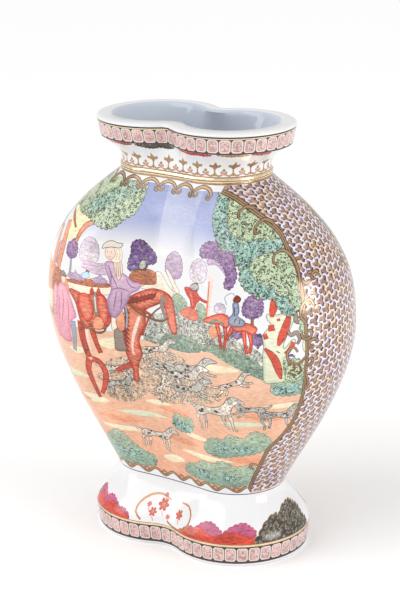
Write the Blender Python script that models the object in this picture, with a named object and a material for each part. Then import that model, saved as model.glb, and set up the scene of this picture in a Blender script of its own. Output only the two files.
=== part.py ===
"""A double vase in one piece of porcelain: two round lobes joined side by side,
with a waist between them from the foot to the rim, one mouth and one hollow.

The vase is a loft of plan sections. Each section is two lobes of one radius,
joined at the front and the back by a concave fillet. It stands on z = 0 with
its long axis along X and its painted front towards -Y. Sizes are in metres.
"""

import math
from dataclasses import dataclass

import bmesh
import bpy

# Driving dimensions, from the foot upwards
FOOT_EDGE_HEIGHT = 0.0027
FOOT_BAND_HEIGHT = 0.0109
FOOT_RISE_HEIGHT = 0.0253
BODY_BELLY_HEIGHT = 0.0982
BODY_SHOULDER_HEIGHT = 0.0841
NECK_RING_HEIGHT = 0.0034
NECK_STRAIGHT_HEIGHT = 0.0040
NECK_FLARE_HEIGHT = 0.0111
RIM_BAND_HEIGHT = 0.0103
LIP_RISE = 0.0017

FOOT_LENGTH = 0.1378
FOOT_DEPTH = 0.0848
FOOT_BAND_TAPER = 0.0012
FOOT_EDGE_TAPER = 0.0010
STEM_LENGTH = 0.1088
STEM_DEPTH = 0.0560
BODY_LENGTH = 0.1956
BODY_DEPTH = 0.1024
NECK_LENGTH = 0.0920
NECK_DEPTH = 0.0534
NECK_RING_PROUD = 0.0009
RIM_LENGTH = 0.1220
RIM_DEPTH = 0.0720
RIM_BAND_TAPER = 0.0020
LIP_WIDTH = 0.0098
LIP_ROUND = 0.0026

WALL = 0.0042
FLOOR = 0.0060
FLOOR_ROUND = 0.0060
FOOT_WALL = 0.0048
FOOT_RING_WIDTH = 0.0060

# How far each waist is filled: 0 leaves a cusp between the lobes, 1 a straight side
FOOT_FILL_SHARE = 0.36
STEM_FILL_SHARE = 0.93
BODY_FILL_SHARE = 0.70
NECK_FILL_SHARE = 0.90
RIM_FILL_SHARE = 0.16
RIM_BASE_FILL_SHARE = 0.22
LEAST_FILL_SHARE = 0.05
MOST_FILL_SHARE = 0.97

# Powers of the two body curves and of the flare under the rim
BELLY_POWERS = (1.656, 1.165)
SHOULDER_POWERS = (2.82, 1.14)
FLARE_POWER = 1.5
FOOT_CREASE_SHARE = 0.15

# Fineness of the loft
POINTS_PER_QUARTER = 18
FOOT_STEPS = 6
BELLY_STEPS = 9
SHOULDER_STEPS = 9
FLARE_STEPS = 4
MOUTH_STEPS = 3
CAVITY_STEPS = 6
RECESS_STEPS = 4

# Heights of the levels above the surface that the vase stands on
FOOT_BAND_BOTTOM = FOOT_EDGE_HEIGHT
FOOT_BAND_TOP = FOOT_BAND_BOTTOM + FOOT_BAND_HEIGHT
STEM_Z = FOOT_BAND_TOP + FOOT_RISE_HEIGHT
BELLY_Z = STEM_Z + BODY_BELLY_HEIGHT
NECK_Z = BELLY_Z + BODY_SHOULDER_HEIGHT
NECK_RING_TOP = NECK_Z + NECK_RING_HEIGHT
FLARE_Z = NECK_RING_TOP + NECK_STRAIGHT_HEIGHT
RIM_BAND_BOTTOM = FLARE_Z + NECK_FLARE_HEIGHT
RIM_BAND_TOP = RIM_BAND_BOTTOM + RIM_BAND_HEIGHT
LIP_Z = RIM_BAND_TOP + LIP_RISE


@dataclass(frozen=True)
class Section:
    """One plan section: its height, its half sizes and how far its waist is filled."""

    height: float
    half_length: float
    half_depth: float
    filling: float

    @property
    def centre(self):
        """Distance of each lobe's centre from the middle of the vase."""
        return self.half_length - self.half_depth

    @property
    def cusp(self):
        """Half depth at the waist if the lobes met there with no fillet."""
        return math.sqrt(max(0.0, self.half_depth**2 - self.centre**2))

    @property
    def half_waist(self):
        """Half depth at the waist."""
        return mix(self.cusp, self.half_depth, self.filling)

    def at(self, height, filling=None):
        """Return this section at another height, with its own waist or a new one."""
        filling = self.filling if filling is None else filling
        return Section(height, self.half_length, self.half_depth, filling)

    def inset(self, along, across=None):
        """Return a section drawn in by one distance all round, or by two."""
        across = along if across is None else across
        bare = Section(self.height, self.half_length - along, self.half_depth - across, 0.0)
        room = bare.half_depth - bare.cusp
        filling = (self.half_waist - across - bare.cusp) / room
        return bare.at(self.height, min(max(filling, LEAST_FILL_SHARE), MOST_FILL_SHARE))


def mix(start, end, share):
    """Return the value a share of the way from start to end."""
    return start + (end - start) * share


def blend(lower, upper, height, size_share, waist_share):
    """Return a section between two others, at its own height."""
    return Section(
        height,
        mix(lower.half_length, upper.half_length, size_share),
        mix(lower.half_depth, upper.half_depth, size_share),
        mix(lower.filling, upper.filling, waist_share),
    )


FOOT = Section(FOOT_BAND_TOP, FOOT_LENGTH / 2, FOOT_DEPTH / 2, FOOT_FILL_SHARE)
STEM = Section(STEM_Z, STEM_LENGTH / 2, STEM_DEPTH / 2, STEM_FILL_SHARE)
BODY = Section(BELLY_Z, BODY_LENGTH / 2, BODY_DEPTH / 2, BODY_FILL_SHARE)
NECK = Section(NECK_Z, NECK_LENGTH / 2, NECK_DEPTH / 2, NECK_FILL_SHARE)
RIM = Section(RIM_BAND_TOP, RIM_LENGTH / 2, RIM_DEPTH / 2, RIM_FILL_SHARE)


def foot_section(height):
    """Return the outside of the bell-shaped foot between its band and the stem."""
    share = (height - FOOT_BAND_TOP) / FOOT_RISE_HEIGHT
    eased = share * share * (3 - 2 * share)
    return blend(FOOT, STEM, height, mix(eased, share, FOOT_CREASE_SHARE), share)


def body_section(height):
    """Return the outside of the body at a height between the stem and the neck."""
    if height <= BELLY_Z:
        share = (height - STEM_Z) / BODY_BELLY_HEIGHT
        rise, fullness = BELLY_POWERS
        swell = (1 - max(0.0, 1 - share) ** rise) ** fullness
        return blend(STEM, BODY, height, swell, 1 - (1 - share) ** 2)
    share = (height - BELLY_Z) / BODY_SHOULDER_HEIGHT
    rise, fullness = SHOULDER_POWERS
    swell = max(0.0, 1 - share**rise) ** fullness
    return blend(NECK, BODY, height, swell, 1 - share**2)


def inner_section(outline, height, wall, low, high):
    """Return the inside of a wall of true thickness on a sloping outline.

    The wall is measured square to the surface, so the section is drawn in
    further where the outline slopes.
    """
    below = outline(max(low, height - wall / 4))
    above = outline(min(high, height + wall / 4))
    here = outline(height)
    rise = above.height - below.height
    along = (above.half_length - below.half_length) / rise
    across = (above.half_depth - below.half_depth) / rise
    return here.inset(wall * math.hypot(1, along), wall * math.hypot(1, across))


def section_points(section, count):
    """Return count points per quarter round a section, evenly spaced along it.

    The lobes are arcs about (+-centre, 0). The fillets are arcs about
    (0, +-fillet_y) that meet the lobes smoothly.
    """
    radius = section.half_depth
    centre = section.centre
    waist = section.half_waist
    fillet = (centre**2 + waist**2 - radius**2) / (2 * (radius - waist))
    fillet_y = waist + fillet
    turn = math.atan2(centre, fillet_y)
    lobe_arc = radius * (math.pi / 2 + turn)
    quarter_arc = lobe_arc + fillet * turn

    quarter = []
    for step in range(count + 1):
        along = quarter_arc * step / count
        if along <= lobe_arc:
            angle = along / radius
            quarter.append((centre + radius * math.cos(angle), radius * math.sin(angle)))
        else:
            angle = turn - (along - lobe_arc) / fillet
            quarter.append((fillet * math.sin(angle), fillet_y - fillet * math.cos(angle)))

    half = quarter + [(-x, y) for x, y in reversed(quarter[:-1])]
    outline = half[:-1] + [(-x, -y) for x, y in half[:-1]]
    return [(x, y, section.height) for x, y in outline]


def foot_levels():
    """Return the outside sections of the foot, from the ground to the stem."""
    edge_inset = FOOT_BAND_TAPER + FOOT_EDGE_TAPER
    levels = [
        FOOT.inset(edge_inset).at(0.0),
        FOOT.inset(FOOT_BAND_TAPER).at(FOOT_BAND_BOTTOM),
    ]
    for step in range(FOOT_STEPS + 1):
        levels.append(foot_section(mix(FOOT_BAND_TOP, STEM_Z, step / FOOT_STEPS)))
    return levels


def body_levels():
    """Return the outside sections of the body, above the stem and up to the neck."""
    levels = []
    for step in range(1, BELLY_STEPS + 1):
        share = (step / BELLY_STEPS) ** 1.2
        levels.append(body_section(mix(STEM_Z, BELLY_Z, share)))
    for step in range(1, SHOULDER_STEPS + 1):
        share = 1 - (1 - step / SHOULDER_STEPS) ** 1.4
        levels.append(body_section(mix(BELLY_Z, NECK_Z, share)))
    return levels


def neck_levels():
    """Return the outside sections of the raised ring, the neck and its flare."""
    rim_base = RIM.inset(RIM_BAND_TAPER).at(RIM_BAND_BOTTOM, RIM_BASE_FILL_SHARE)
    ring = NECK.inset(-NECK_RING_PROUD)
    ring_step = NECK_RING_HEIGHT / 4
    levels = [
        ring.at(NECK_Z + ring_step),
        ring.at(NECK_RING_TOP - ring_step),
        NECK.at(NECK_RING_TOP),
        NECK.at(FLARE_Z),
    ]
    for step in range(1, FLARE_STEPS + 1):
        share = step / FLARE_STEPS
        height = mix(FLARE_Z, RIM_BAND_BOTTOM, share)
        levels.append(blend(NECK, rim_base, height, share**FLARE_POWER, share))
    return levels


def rim_levels():
    """Return the sections of the rim band, its rounded lip and the mouth."""
    levels = [RIM]
    for angle in (30, 60, 90):
        turn = math.radians(angle)
        rounded = RIM.inset(LIP_ROUND * (1 - math.cos(turn)))
        levels.append(rounded.at(RIM_BAND_TOP + LIP_RISE * math.sin(turn)))
    mouth = RIM.inset(LIP_WIDTH)
    levels.append(RIM.inset(LIP_WIDTH - LIP_ROUND / 2).at(LIP_Z))
    throat = NECK.inset(WALL).at(FLARE_Z - WALL / 2)
    for step in range(MOUTH_STEPS):
        share = step / MOUTH_STEPS
        height = mix(LIP_Z - LIP_ROUND / 2, throat.height, share)
        eased = 1 - (1 - share) ** FLARE_POWER
        levels.append(blend(mouth, throat, height, eased, share))
    levels.append(throat)
    return levels


def cavity_levels():
    """Return the inside sections from the neck down to the floor's edge."""
    floor_z = STEM_Z + FLOOR / 2
    low = floor_z + FLOOR_ROUND
    high = mix(BELLY_Z, NECK_Z, 0.9)
    levels = [NECK.inset(WALL).at(NECK_Z - WALL / 2)]
    for start, end in ((high, BELLY_Z), (BELLY_Z, low)):
        for step in range(CAVITY_STEPS):
            height = mix(start, end, step / CAVITY_STEPS)
            levels.append(inner_section(body_section, height, WALL, STEM_Z, NECK_Z))
    for angle in (0, 45, 90):
        turn = math.radians(angle)
        height = low - FLOOR_ROUND * math.sin(turn)
        wall = inner_section(body_section, height, WALL, STEM_Z, NECK_Z)
        levels.append(wall.inset(FLOOR_ROUND * (1 - math.cos(turn))))
    return levels


def recess_levels():
    """Return the sections of the hollow under the foot, from its roof down."""
    opening = FOOT.inset(FOOT_BAND_TAPER + FOOT_EDGE_TAPER + FOOT_RING_WIDTH).at(0.0)
    roof_z = STEM_Z - FLOOR / 2
    levels = []
    for step in range(RECESS_STEPS + 1):
        height = mix(roof_z, FOOT_BAND_TOP, step / RECESS_STEPS)
        wall = inner_section(foot_section, height, FOOT_WALL, FOOT_BAND_TOP, STEM_Z)
        levels.append(Section(
            height,
            min(wall.half_length, opening.half_length),
            min(wall.half_depth, opening.half_depth),
            wall.filling,
        ))
    levels.append(opening)
    return levels


def loft(levels, name):
    """Return a closed mesh through the sections, capped at both ends."""
    shape = bmesh.new()
    rings = [
        [shape.verts.new(point) for point in section_points(level, POINTS_PER_QUARTER)]
        for level in levels
    ]
    around = len(rings[0])
    for lower, upper in zip(rings, rings[1:]):
        for index in range(around):
            after = (index + 1) % around
            shape.faces.new((lower[index], lower[after], upper[after], upper[index]))
    first, last = rings[0], rings[-1]
    shape.faces.new(list(reversed(first)))
    shape.faces.new(last)
    bmesh.ops.recalc_face_normals(shape, faces=shape.faces)
    mesh = bpy.data.meshes.new(name)
    shape.to_mesh(mesh)
    shape.free()
    mesh.shade_smooth()
    mesh.set_sharp_from_angle(angle=math.radians(40))
    return mesh


def porcelain():
    """Return the white glazed porcelain of the vase."""
    material = bpy.data.materials.new("glazed_porcelain")
    material.use_nodes = True
    shader = material.node_tree.nodes["Principled BSDF"]
    shader.inputs["Base Color"].default_value = (0.83, 0.78, 0.74, 1.0)
    shader.inputs["Roughness"].default_value = 0.12
    shader.inputs["Metallic"].default_value = 0.0
    return material


def build_vase():
    """Model the vase as one solid, from the roof of its hollow foot to its floor."""
    levels = recess_levels() + foot_levels() + body_levels()
    levels += neck_levels() + rim_levels() + cavity_levels()
    vase = bpy.data.objects.new("double_vase", loft(levels, "double_vase"))
    vase.data.materials.append(porcelain())
    collection = bpy.data.collections.new("Double vase")
    bpy.context.scene.collection.children.link(collection)
    collection.objects.link(vase)


for old in list(bpy.data.objects):
    bpy.data.objects.remove(old, do_unlink=True)
build_vase()
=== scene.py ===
"""The looks of a porcelain double vase, painted all round in enamels and gilding.

The vase is one piece of porcelain. Its outside is a skin whose mesh carries the
painting: every enamelled patch, ink line and gilt scroll is an outline laid on
the developed surface, and the skin is cut along those outlines, so each colour
ends at an edge of the mesh. The lip, the lining and the hollow foot are wrapped
grids, joined to the skin. Drawing sizes are in millimetres.
"""

import logging
import math
from dataclasses import dataclass, field, replace
from enum import Enum

import bpy
import numpy as np
from mathutils import Matrix, Vector
from mathutils.geometry import delaunay_2d_cdt

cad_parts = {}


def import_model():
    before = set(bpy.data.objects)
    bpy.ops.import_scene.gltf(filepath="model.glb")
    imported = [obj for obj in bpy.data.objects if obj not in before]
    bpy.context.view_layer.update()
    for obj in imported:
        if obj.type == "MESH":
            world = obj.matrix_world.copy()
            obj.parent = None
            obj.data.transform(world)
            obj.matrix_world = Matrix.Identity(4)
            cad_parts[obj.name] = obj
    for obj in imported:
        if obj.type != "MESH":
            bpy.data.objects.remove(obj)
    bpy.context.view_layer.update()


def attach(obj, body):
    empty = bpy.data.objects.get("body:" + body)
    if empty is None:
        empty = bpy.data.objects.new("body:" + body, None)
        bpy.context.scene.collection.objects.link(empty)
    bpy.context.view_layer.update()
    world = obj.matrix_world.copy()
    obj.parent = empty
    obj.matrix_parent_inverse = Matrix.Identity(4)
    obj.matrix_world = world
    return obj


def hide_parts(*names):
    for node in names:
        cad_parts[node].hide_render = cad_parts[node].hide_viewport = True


LOG = logging.getLogger("double_vase")
MM = 0.001
Points = np.ndarray
Line = list | tuple | np.ndarray
Node = bpy.types.Node
Socket = bpy.types.NodeSocket
Tree = bpy.types.NodeTree
Input = Socket | tuple | float


class Finish(Enum):
    """What a patch of the surface is finished with; the value is its material slot."""

    GLAZE = 0
    ENAMEL = 1
    GILDING = 2
    OLD_GILT = 3
    DIAPER = 4
    # The lining's finish: its darker blue-grey is partly the glaze's own tint and partly painted shade of
    # the hollow.
    LINING = 5
    BISCUIT = 6


class Side(Enum):
    """The middle of a face of the vase, as a share of the way round from the left end."""

    FRONT = 0.25
    BACK = 0.75


def linear(colour: tuple) -> np.ndarray:
    """Return a display colour of 0 to 255 as linear light."""
    share = np.asarray(colour, float) / 255
    return np.where(share <= 0.04045, share / 12.92, ((share + 0.055) / 1.055) ** 2.4)


def tint(red: float, green: float, blue: float) -> tuple:
    """Return a display colour of 0 to 255 as a value for a node's colour input."""
    return (*linear((red, green, blue)), 1)


def mix(start: float | Points, end: float | Points, share: float | Points) -> float | Points:
    """Return the value a share of the way from start to end."""
    return start + (end - start) * share


@dataclass(frozen=True)
class Paint:
    """One enamel as laid: its colours at the top and foot of a patch, and its brushwork.

    Streak is the strength of its brush marks, curl that of curled ink lines in
    it, and hatch that of long ink lines.
    """

    top: tuple
    foot: tuple = None
    streak: float = 0.25
    curl: float = 0.0
    hatch: float = 0.0
    finish: Finish = Finish.ENAMEL

    def colours(self) -> tuple:
        """Return the linear colours at the top and the foot of a patch."""
        return linear(self.top), linear(self.foot or self.top)

    def toward(self, other: "Paint", share: float) -> "Paint":
        """Return this paint with its colours a share of the way to another's."""
        top = tuple(mix(np.array(self.top), np.array(other.top), share))
        foot = tuple(mix(np.array(self.foot or self.top), np.array(other.foot or other.top), share))
        return replace(self, top=top, foot=foot)


WHITE = Paint((255, 255, 255), finish=Finish.GLAZE)
GOLD = Paint((250, 226, 188), finish=Finish.GILDING)
RING_LINE = Paint((120, 84, 60), streak=0.8)
LINE_GILT = Paint((150, 118, 88), streak=0.3)
OCHRE = Paint((182, 146, 104), (158, 122, 88), finish=Finish.OLD_GILT)
BROWN_GILT = Paint((150, 108, 66), (128, 90, 56), finish=Finish.OLD_GILT)
SIDE_GROUND = Paint((150, 110, 70), finish=Finish.DIAPER)
INK = Paint((58, 44, 40), streak=0.1)
SOFT_INK = Paint((126, 104, 94), streak=0.1)
BLUE_LINE = Paint((54, 58, 100), streak=0.1)


@dataclass(frozen=True)
class Plan:
    """Half length, half depth and waist filling of one plan section."""

    half_length: float
    half_depth: float
    filling: float

    @property
    def cusp(self) -> float:
        """Half depth at the waist if the lobes met there with no fillet."""
        return math.sqrt(max(0.0, self.half_depth**2 - (self.half_length - self.half_depth) ** 2))

    @property
    def half_waist(self) -> float:
        """Half depth at the waist."""
        return mix(self.cusp, self.half_depth, self.filling)

    def inset(self, along: float, across: float = None) -> "Plan":
        """Return the plan drawn in by one distance all round, or by two, its waist by the last.

        Args:
            along: distance at the two ends.
            across: distance at the front and back, where it is another.

        Returns:
            The smaller plan.
        """
        across = along if across is None else across
        bare = Plan(self.half_length - along, self.half_depth - across, 0.0)
        share = (self.half_waist - across - bare.cusp) / (bare.half_depth - bare.cusp)
        return Plan(bare.half_length, bare.half_depth, min(max(share, 0.05), 0.97))


@dataclass
class VaseForm:
    """The outside of the vase as a surface: a place round it and a height give a point."""

    NORMAL_STEP = 0.06
    NORMAL_TURN = 0.0002
    OFF_CREASE = 0.2
    foot_edge: float = 2.7
    foot_band: float = 10.9
    foot_rise: float = 25.3
    belly: float = 98.2
    shoulder: float = 84.1
    ring: float = 3.4
    neck: float = 4.0
    flare: float = 11.1
    rim_band: float = 10.3
    lip_rise: float = 1.7
    ring_proud: float = 0.9
    foot_plan: Plan = Plan(68.9, 42.4, 0.36)
    stem_plan: Plan = Plan(54.4, 28.0, 0.93)
    body_plan: Plan = Plan(97.8, 51.2, 0.70)
    neck_plan: Plan = Plan(46.0, 26.7, 0.90)
    rim_plan: Plan = Plan(61.0, 36.0, 0.16)
    band_taper: float = 1.2
    edge_taper: float = 1.0
    rim_taper: float = 2.0
    belly_powers: tuple = (1.656, 1.165)
    shoulder_powers: tuple = (2.82, 1.14)
    flare_power: float = 1.5
    crease_share: float = 0.15

    def __post_init__(self) -> None:
        """Chain the heights of the levels from the ground up."""
        self.band_z = self.foot_edge
        self.foot_z = self.band_z + self.foot_band
        self.stem_z = self.foot_z + self.foot_rise
        self.belly_z = self.stem_z + self.belly
        self.neck_z = self.belly_z + self.shoulder
        self.ring_z = self.neck_z + self.ring
        self.flare_z = self.ring_z + self.neck
        self.rim_z = self.flare_z + self.flare
        self.top_z = self.rim_z + self.rim_band
        rim_base = self.rim_plan.inset(self.rim_taper)
        self.rim_base = Plan(rim_base.half_length, rim_base.half_depth, 0.22)

    def plan(self, height: Points) -> tuple:
        """Return half lengths, half depths and waist fillings at some heights.

        Args:
            height: heights above the ground.

        Returns:
            Three arrays as long as height.
        """
        z = np.asarray(height, float)
        out = np.zeros((3,) + z.shape)

        def blend(where: Points, low: Plan, high: Plan, size: Points, waist: Points) -> None:
            """Blend two plans, the sizes by one share and the waist by another."""
            out[0][where] = mix(low.half_length, high.half_length, size)
            out[1][where] = mix(low.half_depth, high.half_depth, size)
            out[2][where] = mix(low.filling, high.filling, waist)

        def draw_in(where: Points, base: Plan, depth: Points) -> None:
            """Set a plan in by a depth all round."""
            length, radius = base.half_length - depth, base.half_depth - depth
            cusp = np.sqrt(np.maximum(0, radius**2 - (length - radius) ** 2))
            waist = base.half_waist - depth
            out[0][where], out[1][where] = length, radius
            out[2][where] = np.clip((waist - cusp) / (radius - cusp), 0.05, 0.97)

        part = z <= self.foot_z
        share = np.clip((self.foot_z - z[part]) / self.foot_band, 0, 1)
        edge = np.clip(1 - z[part] / self.foot_edge, 0, 1) ** 2
        draw_in(part, self.foot_plan, self.band_taper * share + self.edge_taper * edge)
        part = (z > self.foot_z) & (z <= self.stem_z)
        share = (z[part] - self.foot_z) / self.foot_rise
        eased = mix(share * share * (3 - 2 * share), share, self.crease_share)
        blend(part, self.foot_plan, self.stem_plan, eased, share)
        part = (z > self.stem_z) & (z <= self.belly_z)
        share = (z[part] - self.stem_z) / self.belly
        rise, fullness = self.belly_powers
        swell = (1 - np.maximum(0, 1 - share) ** rise) ** fullness
        blend(part, self.stem_plan, self.body_plan, swell, 1 - (1 - share) ** 2)
        part = (z > self.belly_z) & (z <= self.neck_z)
        share = (z[part] - self.belly_z) / self.shoulder
        rise, fullness = self.shoulder_powers
        swell = np.maximum(0, 1 - share**rise) ** fullness
        blend(part, self.neck_plan, self.body_plan, swell, 1 - share**2)
        part = (z > self.neck_z) & (z <= self.flare_z)
        share = (z[part] - self.neck_z) / self.ring
        bead = np.sqrt(np.clip(1 - (2 * share - 1) ** 2, 0, 1)) * (z[part] < self.ring_z)
        draw_in(part, self.neck_plan, -self.ring_proud * bead)
        part = (z > self.flare_z) & (z <= self.rim_z)
        share = (z[part] - self.flare_z) / self.flare
        blend(part, self.neck_plan, self.rim_base, share**self.flare_power, share)
        part = z > self.rim_z
        share = np.clip((z[part] - self.rim_z) / self.rim_band, 0, 1)
        blend(part, self.rim_base, self.rim_plan, share, share)
        return out[0], out[1], out[2]

    @staticmethod
    def fillet(half_length: Points, half_depth: Points, filling: Points) -> tuple:
        """Return lobe centre, fillet radius, fillet centre, turn and quarter girth.

        Args:
            half_length: half lengths of the sections.
            half_depth: half depths.
            filling: waist fillings.

        Returns:
            Five arrays, one value a section.
        """
        centre = half_length - half_depth
        cusp = np.sqrt(np.maximum(0, half_depth**2 - centre**2))
        waist = mix(cusp, half_depth, filling)
        radius = (centre**2 + waist**2 - half_depth**2) / (2 * (half_depth - waist))
        turn = np.arctan2(centre, waist + radius)
        quarter = radius * turn + half_depth * (np.pi / 2 + turn)
        return centre, radius, waist + radius, turn, quarter

    def girth(self, height: Points) -> Points:
        """Return the distance round the vase at some heights."""
        return 4 * self.fillet(*self.plan(height))[4]

    @classmethod
    def around(cls, half_length: Points, half_depth: Points, filling: Points,
               place: Points) -> tuple:
        """Return x and y of a plan section at places round it.

        Args:
            half_length: half lengths of the sections.
            half_depth: half depths, which are also the radii of the lobes.
            filling: waist fillings.
            place: shares of the way round, from the left end by the front.

        Returns:
            Two arrays, x and y.
        """
        centre, radius, radius_y, turn, quarter = cls.fillet(half_length, half_depth, filling)
        along = (np.asarray(place) - Side.FRONT.value) * 4 * quarter
        hand = np.where(along < 0, -1.0, 1.0)
        along = np.abs(along)
        behind = along > 2 * quarter
        along = np.where(behind, 4 * quarter - along, along)
        hand = np.where(behind, -hand, hand)
        far = along > quarter
        along = np.where(far, 2 * quarter - along, along)
        hollow = along <= radius * turn
        angle = np.where(hollow, along / radius, np.pi / 2 + turn - (along - radius * turn) / half_depth)
        x = np.where(hollow, radius * np.sin(angle), centre + half_depth * np.cos(angle))
        y = np.where(hollow, radius_y - radius * np.cos(angle), half_depth * np.sin(angle))
        return x * hand, np.where(far, y, -y)

    def point(self, place: Points, height: Points) -> Points:
        """Return points on the outside, one row each."""
        x, y = self.around(*self.plan(height), place)
        return np.stack([x, y, np.asarray(height, float)], axis=-1)

    def normal(self, place: Points, height: Points, towards: Points) -> Points:
        """Return outward normals, read on the side of each point that a height lies on.

        Args:
            place: shares of the way round.
            height: heights.
            towards: heights that say which side of a crease is meant.

        Returns:
            Unit normals, one row each.
        """
        step = np.where(towards > height, self.NORMAL_STEP, -self.NORMAL_STEP)
        here = height + step * self.OFF_CREASE
        across = self.point(place + self.NORMAL_TURN, here) - self.point(place - self.NORMAL_TURN, here)
        upward = (self.point(place, here + step) - self.point(place, here)) * np.sign(step)[:, None]
        out = np.cross(across, upward)
        return out / np.linalg.norm(out, axis=1)[:, None]


def curve(points: Line, closed: bool = True, steps: int = 4) -> Points:
    """Return a smooth line through a few points.

    Args:
        points: the points that the line passes.
        closed: whether it joins its own start.
        steps: points between one given point and the next.

    Returns:
        The line's points, one row each.
    """
    given = np.asarray(points, float)
    if closed:
        before, after, last = np.roll(given, 1, 0), np.roll(given, -1, 0), np.roll(given, -2, 0)
        start = given
    else:
        padded = np.vstack([2 * given[0] - given[1], given, 2 * given[-1] - given[-2]])
        before, start, after, last = padded[:-3], padded[1:-2], padded[2:-1], padded[3:]
    share = (np.arange(steps) / steps)[None, :, None]
    before, start, after, last = (part[:, None, :] for part in (before, start, after, last))
    line = 0.5 * (2 * start + (after - before) * share + (2 * before - 5 * start + 4 * after - last) *
        share**2 + (3 * start - before - 3 * after + last) * share**3)
    line = line.reshape(-1, given.shape[1])
    return line if closed else np.vstack([line, given[-1]])


def ribbon(points: Line, widths: tuple, steps: int = 4, smooth: bool = True) -> Points:
    """Return the outline of a brush stroke whose width changes along it.

    Args:
        points: the points that the stroke passes.
        widths: its full widths, spread evenly from its start to its end.
        steps: points between one given point and the next.
        smooth: whether the stroke is a smooth curve.

    Returns:
        The closed outline.
    """
    line = curve(points, closed=False, steps=steps) if smooth else np.asarray(points, float)
    length = np.concatenate([[0], np.cumsum(np.linalg.norm(np.diff(line, axis=0), axis=1))])
    half = np.interp(length / length[-1], np.linspace(0, 1, len(widths)), widths) / 2
    along = np.gradient(line, axis=0)
    along /= np.maximum(np.linalg.norm(along, axis=1), 1e-9)[:, None]
    off = np.stack([-along[:, 1], along[:, 0]], 1) * half[:, None]
    return np.vstack([line + off, (line - off)[::-1]])


def ellipse(x: float, z: float, across: float, high: float, tilt: float = 0.0,
            count: int = 14) -> Points:
    """Return an ellipse about a middle, with half sizes and a tilt in degrees.

    Args:
        x: its middle across.
        z: height of its middle.
        across: half size across.
        high: half size in height.
        tilt: its tilt in degrees.
        count: number of its points.

    Returns:
        Its points.
    """
    angle = np.arange(count) * 2 * np.pi / count
    turn = math.radians(tilt)
    flat = np.stack([across * np.cos(angle), high * np.sin(angle)], 1)
    spin = np.array([[math.cos(turn), math.sin(turn)], [-math.sin(turn), math.cos(turn)]])
    return flat @ spin + (x, z)


def grow(outline: Points, width: float) -> Points:
    """Return an outline moved outwards by a small width.

    Args:
        outline: the outline.
        width: how far it moves.

    Returns:
        The wider outline.
    """
    after, before = np.roll(outline, -1, 0), np.roll(outline, 1, 0)
    along = after - before
    along /= np.maximum(np.linalg.norm(along, axis=1), 1e-9)[:, None]
    area = np.sum(outline[:, 0] * after[:, 1] - after[:, 0] * outline[:, 1])
    off = np.stack([along[:, 1], -along[:, 0]], 1) * (width if area > 0 else -width)
    return outline + off


def scallop(outline: Points, bump: float, pitch: float) -> Points:
    """Return an outline edged with small round bumps, as painted leaves have.

    Args:
        outline: the outline.
        bump: height of a bump.
        pitch: length of a bump.

    Returns:
        The outline with its bumps.
    """
    closed = np.vstack([outline, outline[:1]])
    length = np.concatenate([[0], np.cumsum(np.linalg.norm(np.diff(closed, axis=0), axis=1))])
    count = max(6, round(length[-1] / pitch))
    place = np.linspace(0, length[-1], count * 4, endpoint=False)
    even = np.stack([np.interp(place, length, closed[:, axis]) for axis in (0, 1)], 1)
    lift = np.abs(np.sin(np.pi * np.arange(len(even)) / 4))
    return even + (grow(even, bump) - even) * lift[:, None]


def inside(outline: Points, points: Points) -> Points:
    """Return which points lie inside an outline, by its winding number.

    Args:
        outline: the outline.
        points: the points.

    Returns:
        True for each point inside.
    """
    wind = np.zeros(len(points), int)
    x, z = points[:, 0], points[:, 1]
    for (x0, z0), (x1, z1) in zip(outline, np.roll(outline, -1, 0)):
        turn = (x1 - x0) * (z - z0) - (x - x0) * (z1 - z0)
        wind += ((z0 <= z) & (z1 > z) & (turn > 0)).astype(int)
        wind -= ((z0 > z) & (z1 <= z) & (turn < 0)).astype(int)
    return wind != 0


def divided(outline: Points, longest: float = 3.6) -> Points:
    """Return an outline with more points along its long edges.

    Args:
        outline: the outline.
        longest: length of an edge that needs no more points.

    Returns:
        The outline with its new points.
    """
    spans = np.roll(outline, -1, axis=0) - outline
    counts = np.maximum(1, np.ceil(np.hypot(spans[:, 0], spans[:, 1]) / longest)).astype(int)
    return np.vstack([start + span * (np.arange(count) / count)[:, None] for start, span,
        count in zip(outline, spans, counts)])


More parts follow.
